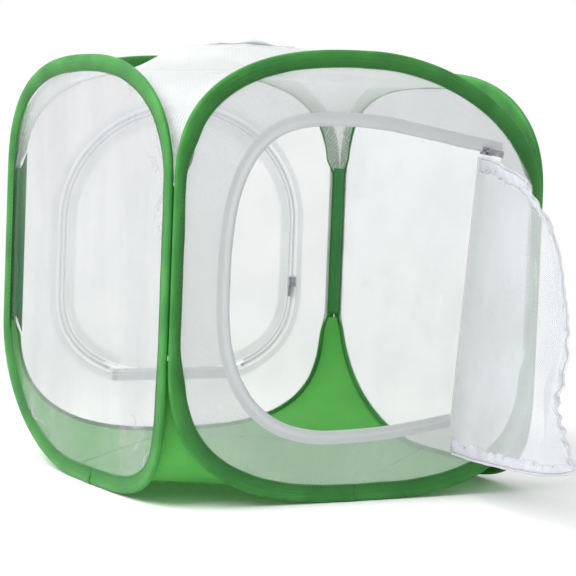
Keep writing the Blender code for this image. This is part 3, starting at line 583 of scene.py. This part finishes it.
def tapeAt(side, f, x):
    # Point on the middle of the tape, x from its outer hem, round the fold and back to the inner.
    d, (band, back) = tapeBuild, widthsAt(side, f)
    radius, half = fold - d["thick"] / 2, d["half"]
    flat, turn, back = band - fold, math.pi * radius, back - fold
    along, seed = f * loopLengths[side], d["seeds"][side]
    hem = wave(along, 0, 0, d["wanderSize"], seed) * d["wander"]
    puff = wave(along, x, 0, d["puckerSize"], seed + 7) * d["pucker"] + d["puff"]
    if x < flat:
        share = 1 - x / flat
        r = band - x + hem * share
        dip = d["stitchDip"] * math.exp(-((x - d["stitchHem"]) / d["dipWide"]) ** 2)
        t = mix(half, d["hemOut"], smooth(share * 1.1))
        t += puff * math.sin(math.pi * share) * (1 - dip)
    elif x < flat + turn:
        a = (x - flat) / radius
        r, t = fold - radius * math.sin(a), half * math.cos(a)
    else:
        share = min((x - flat - turn) / back, 1.0)
        r, t = fold + back * share, -mix(half, d["hemIn"], smooth(share))
    u, z, nu, nz = loopAt(side, f)
    return u + nu * r, z + nz * r, t


def makeTape(side):
    d = tapeBuild
    extra = d["overlap"] / loopLengths[side]
    width = cage["tapeWidth"] + 3.14 * fold + d["turnIn"]
    turn = math.pi * (fold - d["thick"] / 2) - 2 * fold

    def place(f, g):
        share = g * (1 + extra)
        over = smooth((share - 1 + extra) / (2 * extra)) * d["lapOut"]
        spot = d["joins"][side] + share
        u, z, t = tapeAt(side, spot, f * (turn + sum(widthsAt(side, spot))))
        _, _, nu, nz = loopAt(side, spot)
        lift = over * (1 - abs(t) / fold) * d["lapDown"] * smooth(z / d["lapFoot"])
        return onSide(side, u - nu * lift, z - nz * lift, t + over * t / fold)

    bm = cloth(d["across"], d["along"], place, lambda f, g: (g * loopLengths[side], f * width))
    return finish("tape_" + side, bm, tapeGreen, "cage", d["thick"],
                  "binding_" + side)


def makeStitches(side):
    # One row of lockstitch along the tape, near its outer hem.
    d = tapeBuild
    _, right, out = sides[side]
    bm = bmesh.new()
    count = int(loopLengths[side] / d["stitchPitch"])
    for i in range(count):
        _, _, nu, nz = loopAt(side, i / count)
        u, z, t = tapeAt(side, i / count, d["stitchHem"])
        run = (right * nz * -1 + Vector((0, 0, nu))).normalized()
        inward = right * nu + Vector((0, 0, nz))
        spot = onSide(side, u, z, t + d["thick"] / 2 + d["stitchProud"])
        bead(bm, spot, (run, inward, out), (d["stitchLong"], d["stitchFat"], d["stitchFat"]))
    bm.loops.layers.uv.new("weave")
    finish("stitches_" + side, bm, threadGreen, "cage")


for side in sides:
    makeTape(side)
    makeStitches(side)
dressSolids(wireSteel, starts=("spring_wire", "wire_ferrule"))
print("stage: taped loops made")

# Outlines of the two doors
doorLine = {
    "roundX": -0.105, "midX": -0.02, "crown": 0.256, "waist": 0.14, "foot": 0.047,
    "upper": 3.0, "lower": 2.4, "hingeTop": (0.0885, 0.2425), "hingeFoot": (0.0745, 0.0558),
    "topBend": 0.005, "topStart": 0.03, "footBend": 0.015, "footEnd": 0.05,
    "runOn": 0.0185, "stopShort": 0.0064, "slit": 0.0062,
}
(hingeTopU, hingeTopZ), (hingeFootU, hingeFootZ) = doorLine["hingeTop"], doorLine["hingeFoot"]
topSlope = (doorLine["crown"] - hingeTopZ) / (hingeTopU - doorLine["topBend"])
footSlope = (hingeFootZ - doorLine["foot"]) / (hingeFootU - doorLine["footBend"])


def onTopLine(u):
    return u, hingeTopZ + (hingeTopU - u) * topSlope


def onFootLine(u):
    return u, hingeFootZ - (hingeFootU - u) * footSlope


def curve(a, b, c, steps):
    return [tuple((1 - s) ** 2 * p + 2 * s * (1 - s) * q + s * s * r for p, q, r in zip(a, b, c))
            for s in (i / steps for i in range(1, steps))]


def doorPath(steps=26):
    d = doorLine
    mid, reach = d["midX"], d["midX"] - d["roundX"]
    start, end = onTopLine(d["topStart"]), onFootLine(d["footEnd"])
    path = [onTopLine(hingeTopU + d["runOn"]), onTopLine(hingeTopU), start]
    path += curve(start, (d["topBend"], d["crown"]), (mid, d["crown"]), 10)
    path += [(mid - reach * a, mix(d["waist"], d["crown"], b))
             for a, b in superQuarter(d["upper"], steps)[::-1]]
    path += [(mid - reach * a, mix(d["waist"], d["foot"], b))
             for a, b in superQuarter(d["lower"], steps)[1:]]
    path += curve((mid, d["foot"]), (d["footBend"], d["foot"]), end, 10)
    return path + [end, onFootLine(hingeFootU - d["stopShort"])]


backLine = {
    "midX": 0.0025, "half": 0.104, "crown": 0.267, "shoulder": 0.175, "knee": 0.12,
    "foot": 0.05, "hinge": 0.058, "upper": 2.0, "lower": 2.4,
}


def backPath(low=backLine["hinge"], steps=22):
    d = backLine
    tall = d["knee"] - d["foot"]
    last = math.asin(((d["knee"] - low) / tall) ** (d["lower"] / 2))
    right = [(a, d["knee"] - tall * b) for a, b in superQuarter(d["lower"], steps, last)[::-1]]
    right += [(a, mix(d["shoulder"], d["crown"], b)) for a, b in superQuarter(d["upper"], steps)]
    whole = right + [(-a, z) for a, z in right[-2::-1]]
    return [(d["midX"] + d["half"] * a, z) for a, z in whole]


def hingeAt(z):
    return hingeFootU + (hingeTopU - hingeFootU) * (z - hingeFootZ) / (hingeTopZ - hingeFootZ), z


# Walls
wallBuild = {
    "step": 0.006, "film": 0.0004, "billow": 0.00072, "billowSize": 0.075, "crease": 0.0003,
    "creaseSize": 0.016, "clasped": 0.00015, "flatTo": 0.009, "flatSoft": 0.018, "hole": 0.002,
    "foldAt": 0.26, "foldFrom": 0.03, "foldLong": 0.082, "foldDrop": 0.0085,
    "foldWide": 0.0022, "foldOut": 0.0011,
}


def netLift(seed):
    def lift(u, z):
        soft = wave(u, z, 0, wallBuild["billowSize"], seed) * wallBuild["billow"]
        fine = wave(u * 0.5, z, 0, wallBuild["creaseSize"], seed + 3) * wallBuild["crease"]
        return soft + fine
    return lift


def frontLift(u, z):
    # A long soft fold runs over the opening, from its crown towards the slider.
    d = wallBuild
    gone = max((u - d["foldFrom"]) / d["foldLong"], 0)
    line = d["foldAt"] - d["foldDrop"] * smooth(gone) * gone
    crest = math.exp(-((z - line) / d["foldWide"]) ** 2) * smooth((u + 0.04) / 0.03)
    return netLift(2.0)(u, z) + d["foldOut"] * crest * smooth((0.122 - u) / 0.02)


def makeWall(side, holes, mat, lift, name="wall_",
             solid="_mesh_panel", thick=0.0):
    d = wallBuild
    edge = loopTables[side][::4]

    def eased(u, z):  # a wall is held flat where the tape clasps it
        away = min(math.dist((u, z), point) for point in edge)
        return (cage["panelOut"] + lift(u, z)) * smooth((away - d["flatTo"]) / d["flatSoft"])

    outline = [loopAt(side, i / 150, cage["panelInset"])[:2] for i in range(150)]
    bm = flatSheet(side, outline, holes, d["clasped"], d["step"], eased)
    wall = finish(name + side, bm, mat, "cage", thick, side + solid)


frontHole = rightOf(doorPath(), wallBuild["hole"])
slitEnd = (doorPath()[0][0], doorPath()[0][1] - doorLine["slit"])
frontHole += [doorLine["hingeFoot"], hingeAt(hingeTopZ - doorLine["slit"]), slitEnd]
backHole = rightOf(backPath(), wallBuild["hole"])


def filmLift(u, z):
    # The film hangs in soft upright waves, pulled in from the corners.
    upright = math.sin(u * 95 + 3 * wave(u, z, 0, 0.11, 4)) * 0.0007
    slack = wave(u * 1.6, z * 0.5, 0, 0.05, 8) * 0.0016
    edge = min(1.0, (halfD - abs(u)) / 0.05) * min(1.0, z / 0.05, (0.29 - z) / 0.05)
    out = ((abs(u) / 0.14) ** 2.5 + (abs(z - 0.155) / 0.145) ** 2.5) ** 0.4
    crinkle = math.sin((1 - out) * 130 + 2 * wave(u, z, 0, 0.03, 5)) * 0.0005
    crinkle *= smooth((out - 0.8) / 0.12) * smooth(wave(u, z, 0, 0.06, 9) * 2)
    return (upright + slack) * max(edge, 0.0) + crinkle


makeWall("front", [frontHole], netFront, frontLift)
makeWall("back", [backHole], netBack, netLift(11.0))
makeWall("right", [], netSide, netLift(23.0))
makeWall("left", [], film, filmLift, "window_", "_window_film",
         wallBuild["film"])
print("stage: walls made")

# Top and floor cloths
clothBuild = {
    "across": 24, "along": 36, "floor": 0.0007, "away": 0.0015, "awaySewn": 0.0006,
    "seamIn": {1: 0.0116, -1: 0.0088}, "seamEnd": 0.0056, "seamSteps": 60,
    "end": 0.985, "topEnds": {"right": 0.957},
    "peak": 0.309, "tentX": -0.02, "tentFlat": 0.036, "tentOut": 0.098, "arch": 0.0012,
    "archHalf": 0.02, "archDeep": 0.024, "ridge": 0.0008, "calmTo": 0.034, "ripple": 0.0012,
    "rippleSize": 0.035, "sag": 0.0012,
    "rest": 0.0006, "drop": 0.36, "floorRipple": 0.0014, "floorCrease": 0.0005,
}
corners = [("front", 1, "right", 1), ("right", -1, "back", 1),
           ("back", -1, "left", -1), ("left", 1, "front", -1)]


def seamLine(side, sx, sz):
    # Where a cloth leaves one quarter of a loop, from its crown to the sewn edge.
    count = clothBuild["seamSteps"]
    pairs, _ = evenly(quarterPoints(side, sx, sz)[::-1], count + 1, False)
    _, right, out = sides[side]
    line = []
    for i, (u, z) in enumerate(pairs):
        a, b = pairs[max(i - 1, 0)], pairs[min(i + 1, count)]
        tangent = (right * (b[0] - a[0]) + Vector((0, 0, b[1] - a[1]))).normalized()
        normal = out.cross(tangent).normalized()
        if normal.dot(Vector((0, 0, 0.15)) - onSide(side, u, z, 0)) < 0:
            normal = -normal
        sewn = sewnShare(z, *tapeBuild["turnSpan"])
        reach = mix(clothBuild["seamIn"][sz], clothBuild["seamEnd"], sewn)
        away = mix(clothBuild["away"], tapeBuild["half"] + clothBuild["awaySewn"], sewn)
        line.append(onSide(side, u, z, -away) + normal * reach)
    return line


def pick(line, f):
    x = f * (len(line) - 1)
    i = min(int(x), len(line) - 2)
    return line[i].lerp(line[i + 1], x - i)


def makeCloth(name, sz, mat, solid, shape, thick=0.0):
    # Four corner pieces between the loops, and a middle one between their crowns.
    d = clothBuild
    bm = bmesh.new()
    crowns = []
    for a, sa, b, sb in corners:
        first, second = seamLine(a, sa, sz), seamLine(b, sb, sz)
        crowns.append(first[0])
        end = d["topEnds"].get(a, d["end"]) if sz > 0 else d["end"]

        def place(f, g, first=first, second=second, end=end):
            return shape(pick(first, g * end).lerp(pick(second, g * end), f))

        cloth(d["across"], d["along"], place, lambda f, g: (0, 0), bm)
    p, q, r, s = crowns

    def middle(f, g):
        return shape(p.lerp(q, f).lerp(s.lerp(r, f), g))

    cloth(d["across"], d["across"], middle, lambda f, g: (0, 0), bm)
    bmesh.ops.remove_doubles(bm, verts=bm.verts, dist=making["cutWithin"])
    bmesh.ops.recalc_face_normals(bm, faces=bm.faces)
    if sum(face.normal.z for face in bm.faces) * sz < 0:
        bmesh.ops.reverse_faces(bm, faces=bm.faces)
    layer = bm.loops.layers.uv["weave"]
    for face in bm.faces:
        for corner in face.loops:
            co = corner.vert.co
            corner[layer].uv = (co.x, co.y + (co.z - 0.15) * (1 if co.y > 0 else -1) * 0.5)
    piece = finish(name, bm, mat, "cage", thick, solid)


def tented(co):
    # Taut from loop to loop, and lifted to a tent by the strap.
    d = clothBuild
    x = co.x - d["tentX"]
    r = math.hypot(x, co.y)
    pull = 1 - smooth((r - d["tentFlat"]) / (d["tentOut"] - d["tentFlat"]))
    away = smooth((r - d["calmTo"]) / 0.02)  # calm under the strap's feet
    ridge = d["ridge"] * pull * math.sin(math.atan2(co.y, x) * 5) * away
    inX, inY = halfW - abs(co.x), halfD - abs(co.y)
    ripple = wave(*co, d["rippleSize"], 3.3) * d["ripple"] * smooth(inY / 0.03) * away
    arch = d["arch"] * max(1 - (x / d["archHalf"]) ** 4, 0) * math.exp(-(co.y / d["archDeep"]) ** 2)
    rise = max(d["peak"] - co.z, 0) * pull
    sag = d["sag"] * (1 - pull) * smooth(inY / 0.05) * smooth(inX / 0.05)
    return co + Vector((0, 0, rise + arch + ridge + ripple - sag))


def floored(co):
    # Taut across the corners, resting on the ground in the middle.
    d = clothBuild
    ripple = max(wave(*co, 0.045, 6.1) * d["floorRipple"], 0)
    inner = smooth((1.03 - abs(co.y) / halfD - abs(co.x) / halfW) / d["drop"])
    crease = wave(*co, 0.02, 2.2) * d["floorCrease"] * smooth((co.z - 0.012) / 0.02)
    return Vector((co.x, co.y, mix(co.z, d["rest"] + ripple, inner) + crease))


makeCloth("top_net", 1, netTop, "top_mesh_panel", tented)
makeCloth("floor_cloth", -1, floorGreen, "floor_panel", floored,
          clothBuild["floor"])
print("stage: top and floor made")

# Strips inside the sewn corners
stripBuild = {"width": 0.0086, "thick": 0.0008, "back": 0.0084, "bow": 0.001, "slant": 2.8,
              "long": 0.109}


def makeStrip(tag, sx, sy, top, slide=0.0, lap=0.0):
    # lap is how far the strip runs on along the back wall, and grows longer there.
    d = stripBuild
    centre = Vector((sx * halfW, sy * halfD, 0))
    inward = Vector((-sx, -sy, 0)).normalized()
    across = Vector((-inward.y, inward.x, 0))

    def place(f, g):
        s = f * (d["width"] + lap)
        share, past = min(s / d["width"], 1.0), max(s - d["width"], 0)
        z = mix(cage["seamLow"] - d["slant"] * past, top + d["slant"] * past, g)
        w = (share - 0.5) * d["width"]
        bow = d["bow"] * (1 - (2 * share - 1) ** 2)
        return (centre + across * (w + slide) + inward * (d["back"] - bow * 0.5)
                + Vector((-sx * past, 0, z)))

    bm = cloth(12, 40, place, lambda f, g: (g * d["long"], f * (d["width"] + lap)))
    finish("strip_" + tag, bm, stripGreen, "cage", d["thick"],
           "corner_strip_" + tag)


makeStrip("front_left", -1, -1, 0.211)
makeStrip("front_right", 1, -1, 0.211)
makeStrip("back_left", -1, 1, 0.214, lap=0.0042)
makeStrip("back_right", 1, 1, 0.2205, slide=0.0012)

# Zips
zipBuild = {
    "mid": 0.0022, "wide": 0.007, "over": 0.0024, "bulge": 0.0011, "across": 10,
    "pitch": 0.0014, "toothLong": 0.00042, "toothWide": 0.0012, "toothTall": 0.0008,
    "coilIn": 0.0012, "backCoilIn": 0.0017, "backReach": 0.0017, "coilSteps": 400,
    "coilSunk": 0.0002,
}


def ribbon(name, path, place, mat, body, solid, count):
    # A zip tape along a path, as place(u, z, its right in u and z, share across, length) says.
    line, length = evenly(path, count + 1, False)
    right = rightOf(line, 1.0)

    def at(f, g):
        i = min(int(g * count + 0.5), count)
        (u, z), (ru, rz) = line[i], right[i]
        return place(u, z, ru - u, rz - z, f, g * length)

    width = zipBuild["wide"] + zipBuild["over"]
    bm = cloth(zipBuild["across"], count, at, lambda f, g: (g * length, f * width))
    bmesh.ops.recalc_face_normals(bm, faces=bm.faces)
    finish(name, bm, mat, body, solid=solid)


def teeth(name, points, out, body, solid, reach=zipBuild["toothWide"], shift=0.5):
    # Coil turns along a line of points, each lying across the line.
    bm = bmesh.new()
    lengths = [0.0]
    for a, b in zip(points, points[1:]):
        lengths.append(lengths[-1] + (b - a).length)
    count = int(lengths[-1] / zipBuild["pitch"])
    k = 0
    for i in range(count):
        want = (i + shift) * zipBuild["pitch"]
        while lengths[k + 1] < want:
            k += 1
        a, b = points[k], points[k + 1]
        spot = a.lerp(b, (want - lengths[k]) / (lengths[k + 1] - lengths[k]))
        run = (b - a).normalized()
        cross = out.cross(run).normalized()
        bead(bm, spot, (run, cross, run.cross(cross)),
             (zipBuild["toothLong"], reach, zipBuild["toothTall"]))
    bm.loops.layers.uv.new("weave")
    return finish(name, bm, coilNylon, body, solid=solid)


def wallTeeth(name, side, path, body, solid, *more):
    line, _ = evenly(path, zipBuild["coilSteps"], False)
    points = [onSide(side, u, z, zipBuild["mid"] - zipBuild["coilSunk"]) for u, z in line]
    teeth(name, points, sides[side][2], body, solid, *more)


def wallTape(side, seed, inner):
    # The zip tape on a wall: flat where it is sewn, rolled over the coil at its free edge.
    def place(u, z, ru, rz, f, along):
        d = mix(zipBuild["wide"], -zipBuild["over"], f) + wave(along, 0, 0, 0.02, seed) * 0.0003
        roll = smooth((0.0035 - d) / 0.0035) - 0.75 * smooth((-0.001 - d) / 0.0016)
        ripple = wave(along, f, 0, 0.011, seed + 2) * 0.00018
        out = zipBuild["mid"] + zipBuild["bulge"] * roll * inner + ripple
        return onSide(side, u + ru * d, z + rz * d, out)
    return place


ribbon("door_wall_tape", doorPath() + [onFootLine(hingeFootU - 0.0012)],
       wallTape("front", 2.7, 1.0), tapeWhite, "cage", "door_panel_zip_tape", 320)
wallTeeth("door_wall_coil", "front", rightOf(doorPath(), -zipBuild["coilIn"]), "cage",
          "door_panel_zip_coil")
ribbon("back_wall_tape", backPath(0.0553), wallTape("back", 8.7, 0.2), tapePale, "cage",
       "back_panel_zip_tape", 300)
wallTeeth("back_wall_coil", "back", rightOf(backPath(), -zipBuild["backCoilIn"]), "cage",
          "back_panel_zip_coil", zipBuild["backReach"])
print("stage: zips made")

# Front door leaf, hanging open
leafBuild = {
    "angle": math.radians(78), "out": 0.0043, "across": 84, "along": 72,
    # u is from the hinge, z above the table
    "top": [(0.0, 0.2355), (0.026, 0.233), (0.052, 0.2275), (0.08, 0.219), (0.104, 0.2075),
            (0.124, 0.194)],
    "free": [(0.124, 0.194), (0.138, 0.179), (0.152, 0.156), (0.164, 0.135), (0.168, 0.115),
             (0.1655, 0.1), (0.161, 0.088), (0.166, 0.078), (0.176, 0.069),
             (0.188, 0.058), (0.196, 0.05)],
    "foot": [(0.0, 0.032), (0.04, 0.033), (0.08, 0.0355), (0.12, 0.0385), (0.16, 0.0425),
             (0.196, 0.05)],
    "hem": 0.0085, "hemThick": 0.0003, "hemSteps": 330, "coilSteps": 420, "coilOut": 0.0008,
    "inU": 0.165, "inTop": 0.19, "inFree": 0.155,
}
leafAlong = Vector((-math.cos(leafBuild["angle"]), -math.sin(leafBuild["angle"]), 0))
hingeRun = Vector((hingeTopU - hingeFootU, 0, hingeTopZ - hingeFootZ)).normalized()
leafOut = hingeRun.cross(leafAlong).normalized()


def along(points, f):
    # A smooth line through a few points.
    n = len(points) - 1
    x = min(max(f, 0.0), 1.0) * n
    i = min(int(x), n - 1)
    k = x - i
    near = [points[min(max(j, 0), n)] for j in range(i - 1, i + 3)]
    return tuple(0.5 * (2 * b + (c - a) * k + (2 * a - 5 * b + 4 * c - d) * k * k
                        + (3 * b - a - 3 * c + d) * k ** 3) for a, b, c, d in zip(*near))


def leafFlat(f, g):
    # (u, z) of the leaf: f from hinge to free edge, g from foot to top, by its four edges.
    foot, top = leafBuild["foot"], leafBuild["top"]
    edges = zip(along(foot, f), along(top, f), along(leafBuild["free"], 1 - g),
                foot[0], top[0], foot[-1], top[-1])
    return tuple(mix(low, high, g) + mix(mix(c00, c01, g), free, f)
                 - mix(mix(c00, c01, g), mix(c10, c11, g), f)
                 for low, high, free, c00, c01, c10, c11 in edges)


def leafFold(f, g, u, z):
    # How far the cloth stands off its plane: one long fold, a belly, and ripples at the edge.
    out = 0.0105 * math.exp(-((f - 0.82 + 0.1 * (1 - g)) / 0.05) ** 2) * smooth(g * 3)
    out *= smooth((1.04 - g) * 3)
    out += 0.0045 * math.exp(-((f - 0.56 + 0.05 * g) / 0.09) ** 2) * smooth(g * 2)
    out += 0.0045 * math.sin(math.pi * f) * math.sin(math.pi * g)
    edge = smooth((f - 0.8) / 0.2)
    frill = (0.0003 + 0.0007 * smooth((0.15 - z) / 0.05)) * edge * edge
    topEdge, footEdge = smooth((g - 0.88) / 0.12), smooth((0.1 - g) / 0.1)
    for x, turns, swing, slow, size in (
            (z, 560, 3.1, 83, frill), (z, 1400, 2.0, 210, 0.3 * frill),
            (u, 380, 1.3, 70, 0.0007 * topEdge * smooth(f * 6)),
            (u, 260, 1.9, 55, 0.0007 * footEdge * smooth(f * 6))):
        out += math.sin(x * turns + swing * math.sin(x * slow)) * size
    out += wave(u, z, 0, 0.03, 31.0) * 0.001 * smooth(f * 4)
    return (out + 0.0022 * edge) * smooth(f * 5)


def leafAt(f, g, off=0.0):
    u, z = leafFlat(f, g)
    base = onSide("front", *hingeAt(z), leafBuild["out"])
    return base + leafAlong * u + leafOut * (leafFold(f, g, u, z) + off)


leaf = finish("door_leaf_net", cloth(leafBuild["across"], leafBuild["along"], leafAt, leafFlat),
              netDoor, "door", solid="door_leaf")


def edgePath(count):
    # The zipped edge of the leaf as (f, g) with its inward way: out along the top, down, and
    # back along the foot.
    out = []
    for i in range(count):
        s = i / (count - 1) * 3
        if s < 1:
            out.append((mix(0.02, 1.0, s), 1.0, 0.0, -1.0))
        elif s < 2:
            out.append((1.0, 2.0 - s, -1.0, 0.0))
        else:
            out.append((mix(1.0, 0.02, s - 2), 0.0, 0.0, 1.0))
    return out


def makeHem():
    # The leaf's zip tape, gathered along its edge and doubled over it.
    count = leafBuild["hemSteps"]
    rows = []
    for i, (f, g, df, dg) in enumerate(edgePath(count + 1)):
        turn = sum(smooth(1 - abs(i / count * 3 - corner) / 0.05) for corner in (1, 2))
        wf, wg = df or (-turn if f > 0.9 else 0), dg or (turn * (1 if g < 0.5 else -1))
        lump = wave(i * 0.004, 0, 0, 0.05, 17) * 0.35 + wave(i * 0.004, 0, 0, 0.013, 23) * 0.2
        rows.append((f, g, wf, wg, leafBuild["hem"] * (1 + lump)))

    def at(a, b):
        i = min(int(b * count + 0.5), count)
        f, g, wf, wg, wide = rows[i]
        way = 1 - 2 * a  # from the inner face, round the edge, to the outer face
        d = abs(way) * wide
        tall = leafBuild["inTop"] if f < 0.6 else leafBuild["inFree"]
        innerF, innerG = f + wf * d / leafBuild["inU"], g + wg * d / tall
        puff = 0.0006 * math.sin(math.pi * min(abs(way) * 1.2, 1.0)) + 0.0002
        pucker = math.sin(i * 0.62 + 2 * math.sin(i * 0.13)) * 0.0006 * math.sin(math.pi * abs(way))
        pucker += wave(i * 0.0016, a * 0.02, 0, 0.006, 71) * 0.0007
        side = -1 if way > 0.02 else 1 if way < -0.02 else 0
        return leafAt(innerF, innerG, side * puff + pucker * (1 if side else 0))

    bm = cloth(17, count, at, lambda f, g: (g * 0.52, f * 2 * leafBuild["hem"]))
    return finish("door_leaf_tape", bm, hemWhite, "door", leafBuild["hemThick"],
                  "door_leaf_zip_tape")


hem = makeHem()
coil = []
for f, g, df, dg in edgePath(leafBuild["coilSteps"]):
    inner = leafAt(f + df * 0.01, g + dg * 0.01)
    spot = leafAt(f, g, 0.0004)
    coil.append(spot + (spot - inner).normalized() * leafBuild["coilOut"])
leafTeeth = teeth("door_leaf_coil", coil, leafOut, "door", "door_leaf_zip_coil")


def makeHingeStrip():
    def place(f, g):
        z = mix(hingeFootZ, hingeTopZ - doorLine["slit"], g)
        out = 0.0004 + 0.0002 * math.sin(math.pi * f) + wave(z, f, 0, 0.01) * 0.0001
        return onSide("front", hingeAt(z)[0] - 0.001 + f * 0.008, z, zipBuild["mid"] + out)

    bm = cloth(6, 80, place, lambda f, g: (g * 0.18, f * 0.008))
    finish("door_hinge_strip", bm, tapePale, "cage", solid="door_hinge_tape")


makeHingeStrip()
print("stage: front door made")

# Back door leaf
backLeaf = {"inset": 0.0068, "tapeOut": 0.0068, "coil": 0.005, "above": 0.0002,
            "stripIn": 0.003, "stripTop": 0.0006, "stripWide": 0.0095}


def makeBackLeaf():
    low = backLine["hinge"] + backLeaf["above"]
    outline = rightOf(backPath(backLine["foot"]), -backLeaf["inset"])
    inside = [p for p in outline if p[1] > low + 0.0008]
    ring = [(inside[0][0], low)] + inside + [(inside[-1][0], low)]
    bm = flatSheet("back", ring, [], cage["panelOut"], wallBuild["step"], netLift(41.0))
    net = finish("back_leaf_net", bm, netBack, "back_door", solid="back_leaf")


def makeBackHinge():
    d = backLeaf
    right, left = backPath()[0][0] - d["stripIn"], backPath()[-1][0] + d["stripIn"]

    def place(f, g):
        z = backLine["hinge"] + d["stripTop"] - f * d["stripWide"]
        return onSide("back", mix(left, right, g), z, zipBuild["mid"])

    bm = cloth(5, 60, place, lambda f, g: (g * 0.1, f * 0.008))
    finish("back_hinge_strip", bm, tapeWhite, "cage", solid="back_hinge_tape")


makeBackHinge()
makeBackLeaf()


def backLeafTape(u, z, ru, rz, f, along):
    d = -mix(backLeaf["coil"] - 0.0006, backLeaf["tapeOut"] + zipBuild["wide"], f)
    return onSide("back", u + ru * d, max(z + rz * d, backLine["hinge"] + 0.001),
                  zipBuild["mid"] + wave(along, f, 0, 0.012, 55) * 0.0002)


ribbon("back_leaf_tape", backPath(0.056), backLeafTape, tapePale, "back_door",
       "back_leaf_zip_tape", 280)
wallTeeth("back_leaf_coil", "back", rightOf(backPath()[1:-1], -backLeaf["coil"] + 0.0005),
          "back_door", "back_leaf_zip_coil", zipBuild["backReach"], 0.0)
print("stage: back door made")

# Strap on the top
strapBuild = {"x": -0.018, "span": 0.038, "foot": 0.012, "rise": 0.0042, "wide": 0.02,
              "narrower": 0.002, "thick": 0.00088, "low": 0.31025, "curl": 0.0024,
              "lump": 0.0005}


def makeStrap():
    d = strapBuild
    half = d["span"] / 2

    def place(f, g):
        x = mix(-half - d["foot"], half + d["foot"], g)
        s = x / half
        free = max(1 - s * s, 0)
        y = (f - 0.5) * (d["wide"] - d["narrower"] * free)
        z = d["low"] + d["rise"] * max(1 - abs(s) ** 1.9, 0)
        z -= d["curl"] * (2 * f - 1) ** 2 * max(1 - abs(s) ** 3, 0)
        return Vector((d["x"] + x, y, z + wave(x, y, 0, 0.009, 3) * d["lump"] * free))

    bm = cloth(14, 60, place, lambda f, g: (g * 0.07, f * 0.02))
    finish("top_strap_web", bm, strapWhite, "cage", d["thick"], "top_strap")


makeStrap()
dressSolids(zipMetal, ends=("_slider", "_pull"))
dressSolids(coilNylon, ends=("_stop",))
print("stage: strap and metal made")

# Camera, floor and light
view = {
    "centre": Vector((0, 0, 0.1525)), "azimuth": 28.63, "elevation": 3.5, "distance": 1.5626,
    "focal": 2130.0, "frame": 576.0, "sensor": 36.0, "roll": 2.14, "aim": (263.7, 262.5),
}
studio = {
    "white": (1.0, 1.0, 1.0), "floor": (0.93, 0.93, 0.93), "size": 12,
    "fade": (0.2, 0.7, 0.02, 1.0), "world": 0.63, "aim": (0, 0, 0.12),
    "key": ((-1.45, -0.1, 1.45), 1.5, 52.0), "back": ((0.45, 1.3, 1.45), 1.3, 7.0),
}


def makeCamera():
    place = Matrix.Translation(view["centre"])
    for degrees, axis in ((-view["azimuth"], "Z"), (90 - view["elevation"], "X"),
                          (view["roll"], "Z")):
        place @= Matrix.Rotation(math.radians(degrees), 4, axis)
    data = bpy.data.cameras.new("camera")
    camera = linked("camera", data)
    camera.matrix_world = place @ Matrix.Translation((0, 0, view["distance"]))
    data.sensor_width = view["sensor"]
    data.lens = view["focal"] / view["frame"] * view["sensor"]
    half = view["frame"] / 2
    data.shift_x = (half - view["aim"][0]) / view["frame"]
    data.shift_y = (view["aim"][1] - half) / view["frame"]
    data.clip_end = 60
    bpy.context.scene.camera = camera


def seenPlainly(tree):
    # 1 for what the camera sees, straight or by mirror and glass, and 0 for what lights the object.
    rays = tree.nodes.new("ShaderNodeLightPath").outputs
    seen = maths(tree, "MAXIMUM", rays["Is Camera Ray"], rays["Is Glossy Ray"])
    return maths(tree, "MAXIMUM", seen, rays["Is Transmission Ray"])


def makeFloor():
    # A pale floor, which fades to plain white away from the object.
    bm = bmesh.new()
    bmesh.ops.create_grid(bm, x_segments=24, y_segments=24, size=studio["size"])
    mesh = bpy.data.meshes.new("floor")
    bm.to_mesh(mesh)
    bm.free()
    floor = linked("floor", mesh)
    mat, tree, shader = newMaterial("paleFloor")
    fill(tree, shader, {"Base Color": studio["floor"], "Roughness": 0.6,
                        "Specular IOR Level": 0.2})
    glow = node(tree, "Emission", {"Color": studio["white"], "Strength": 1.0})
    away = node(tree, "VectorMath", {0: objectOf(tree)}, "Value", operation="LENGTH")
    share = times(tree, ranged(tree, away, *studio["fade"]), seenPlainly(tree))
    show(tree, mixShaders(tree, share, shader.outputs[0], glow))
    mesh.materials.append(mat)


def makeWorld():
    world = bpy.data.worlds.new("studio")
    bpy.context.scene.world = world
    world.use_nodes = True
    tree = world.node_tree
    plain = tree.nodes["Background"]
    fill(tree, plain, {"Color": studio["white"], "Strength": studio["world"]})
    white = node(tree, "Background", {"Color": studio["white"], "Strength": 1.0})
    show(tree, mixShaders(tree, seenPlainly(tree), plain.outputs[0], white), "World Output")


def makeLamp(name):
    spot, size, power = studio[name]
    data = bpy.data.lights.new(name, "AREA")
    data.shape, data.size, data.energy = "SQUARE", size, power
    turn = (Vector(studio["aim"]) - Vector(spot)).to_track_quat("-Z", "Y")
    linked(name, data).matrix_world = Matrix.Translation(spot) @ turn.to_matrix().to_4x4()


makeCamera()
makeFloor()
makeWorld()
makeLamp("key")
makeLamp("back")
scene = bpy.context.scene
scene.view_settings.view_transform = "Standard"
scene.cycles.transparent_max_bounces = 32
print("stage: camera and light made")
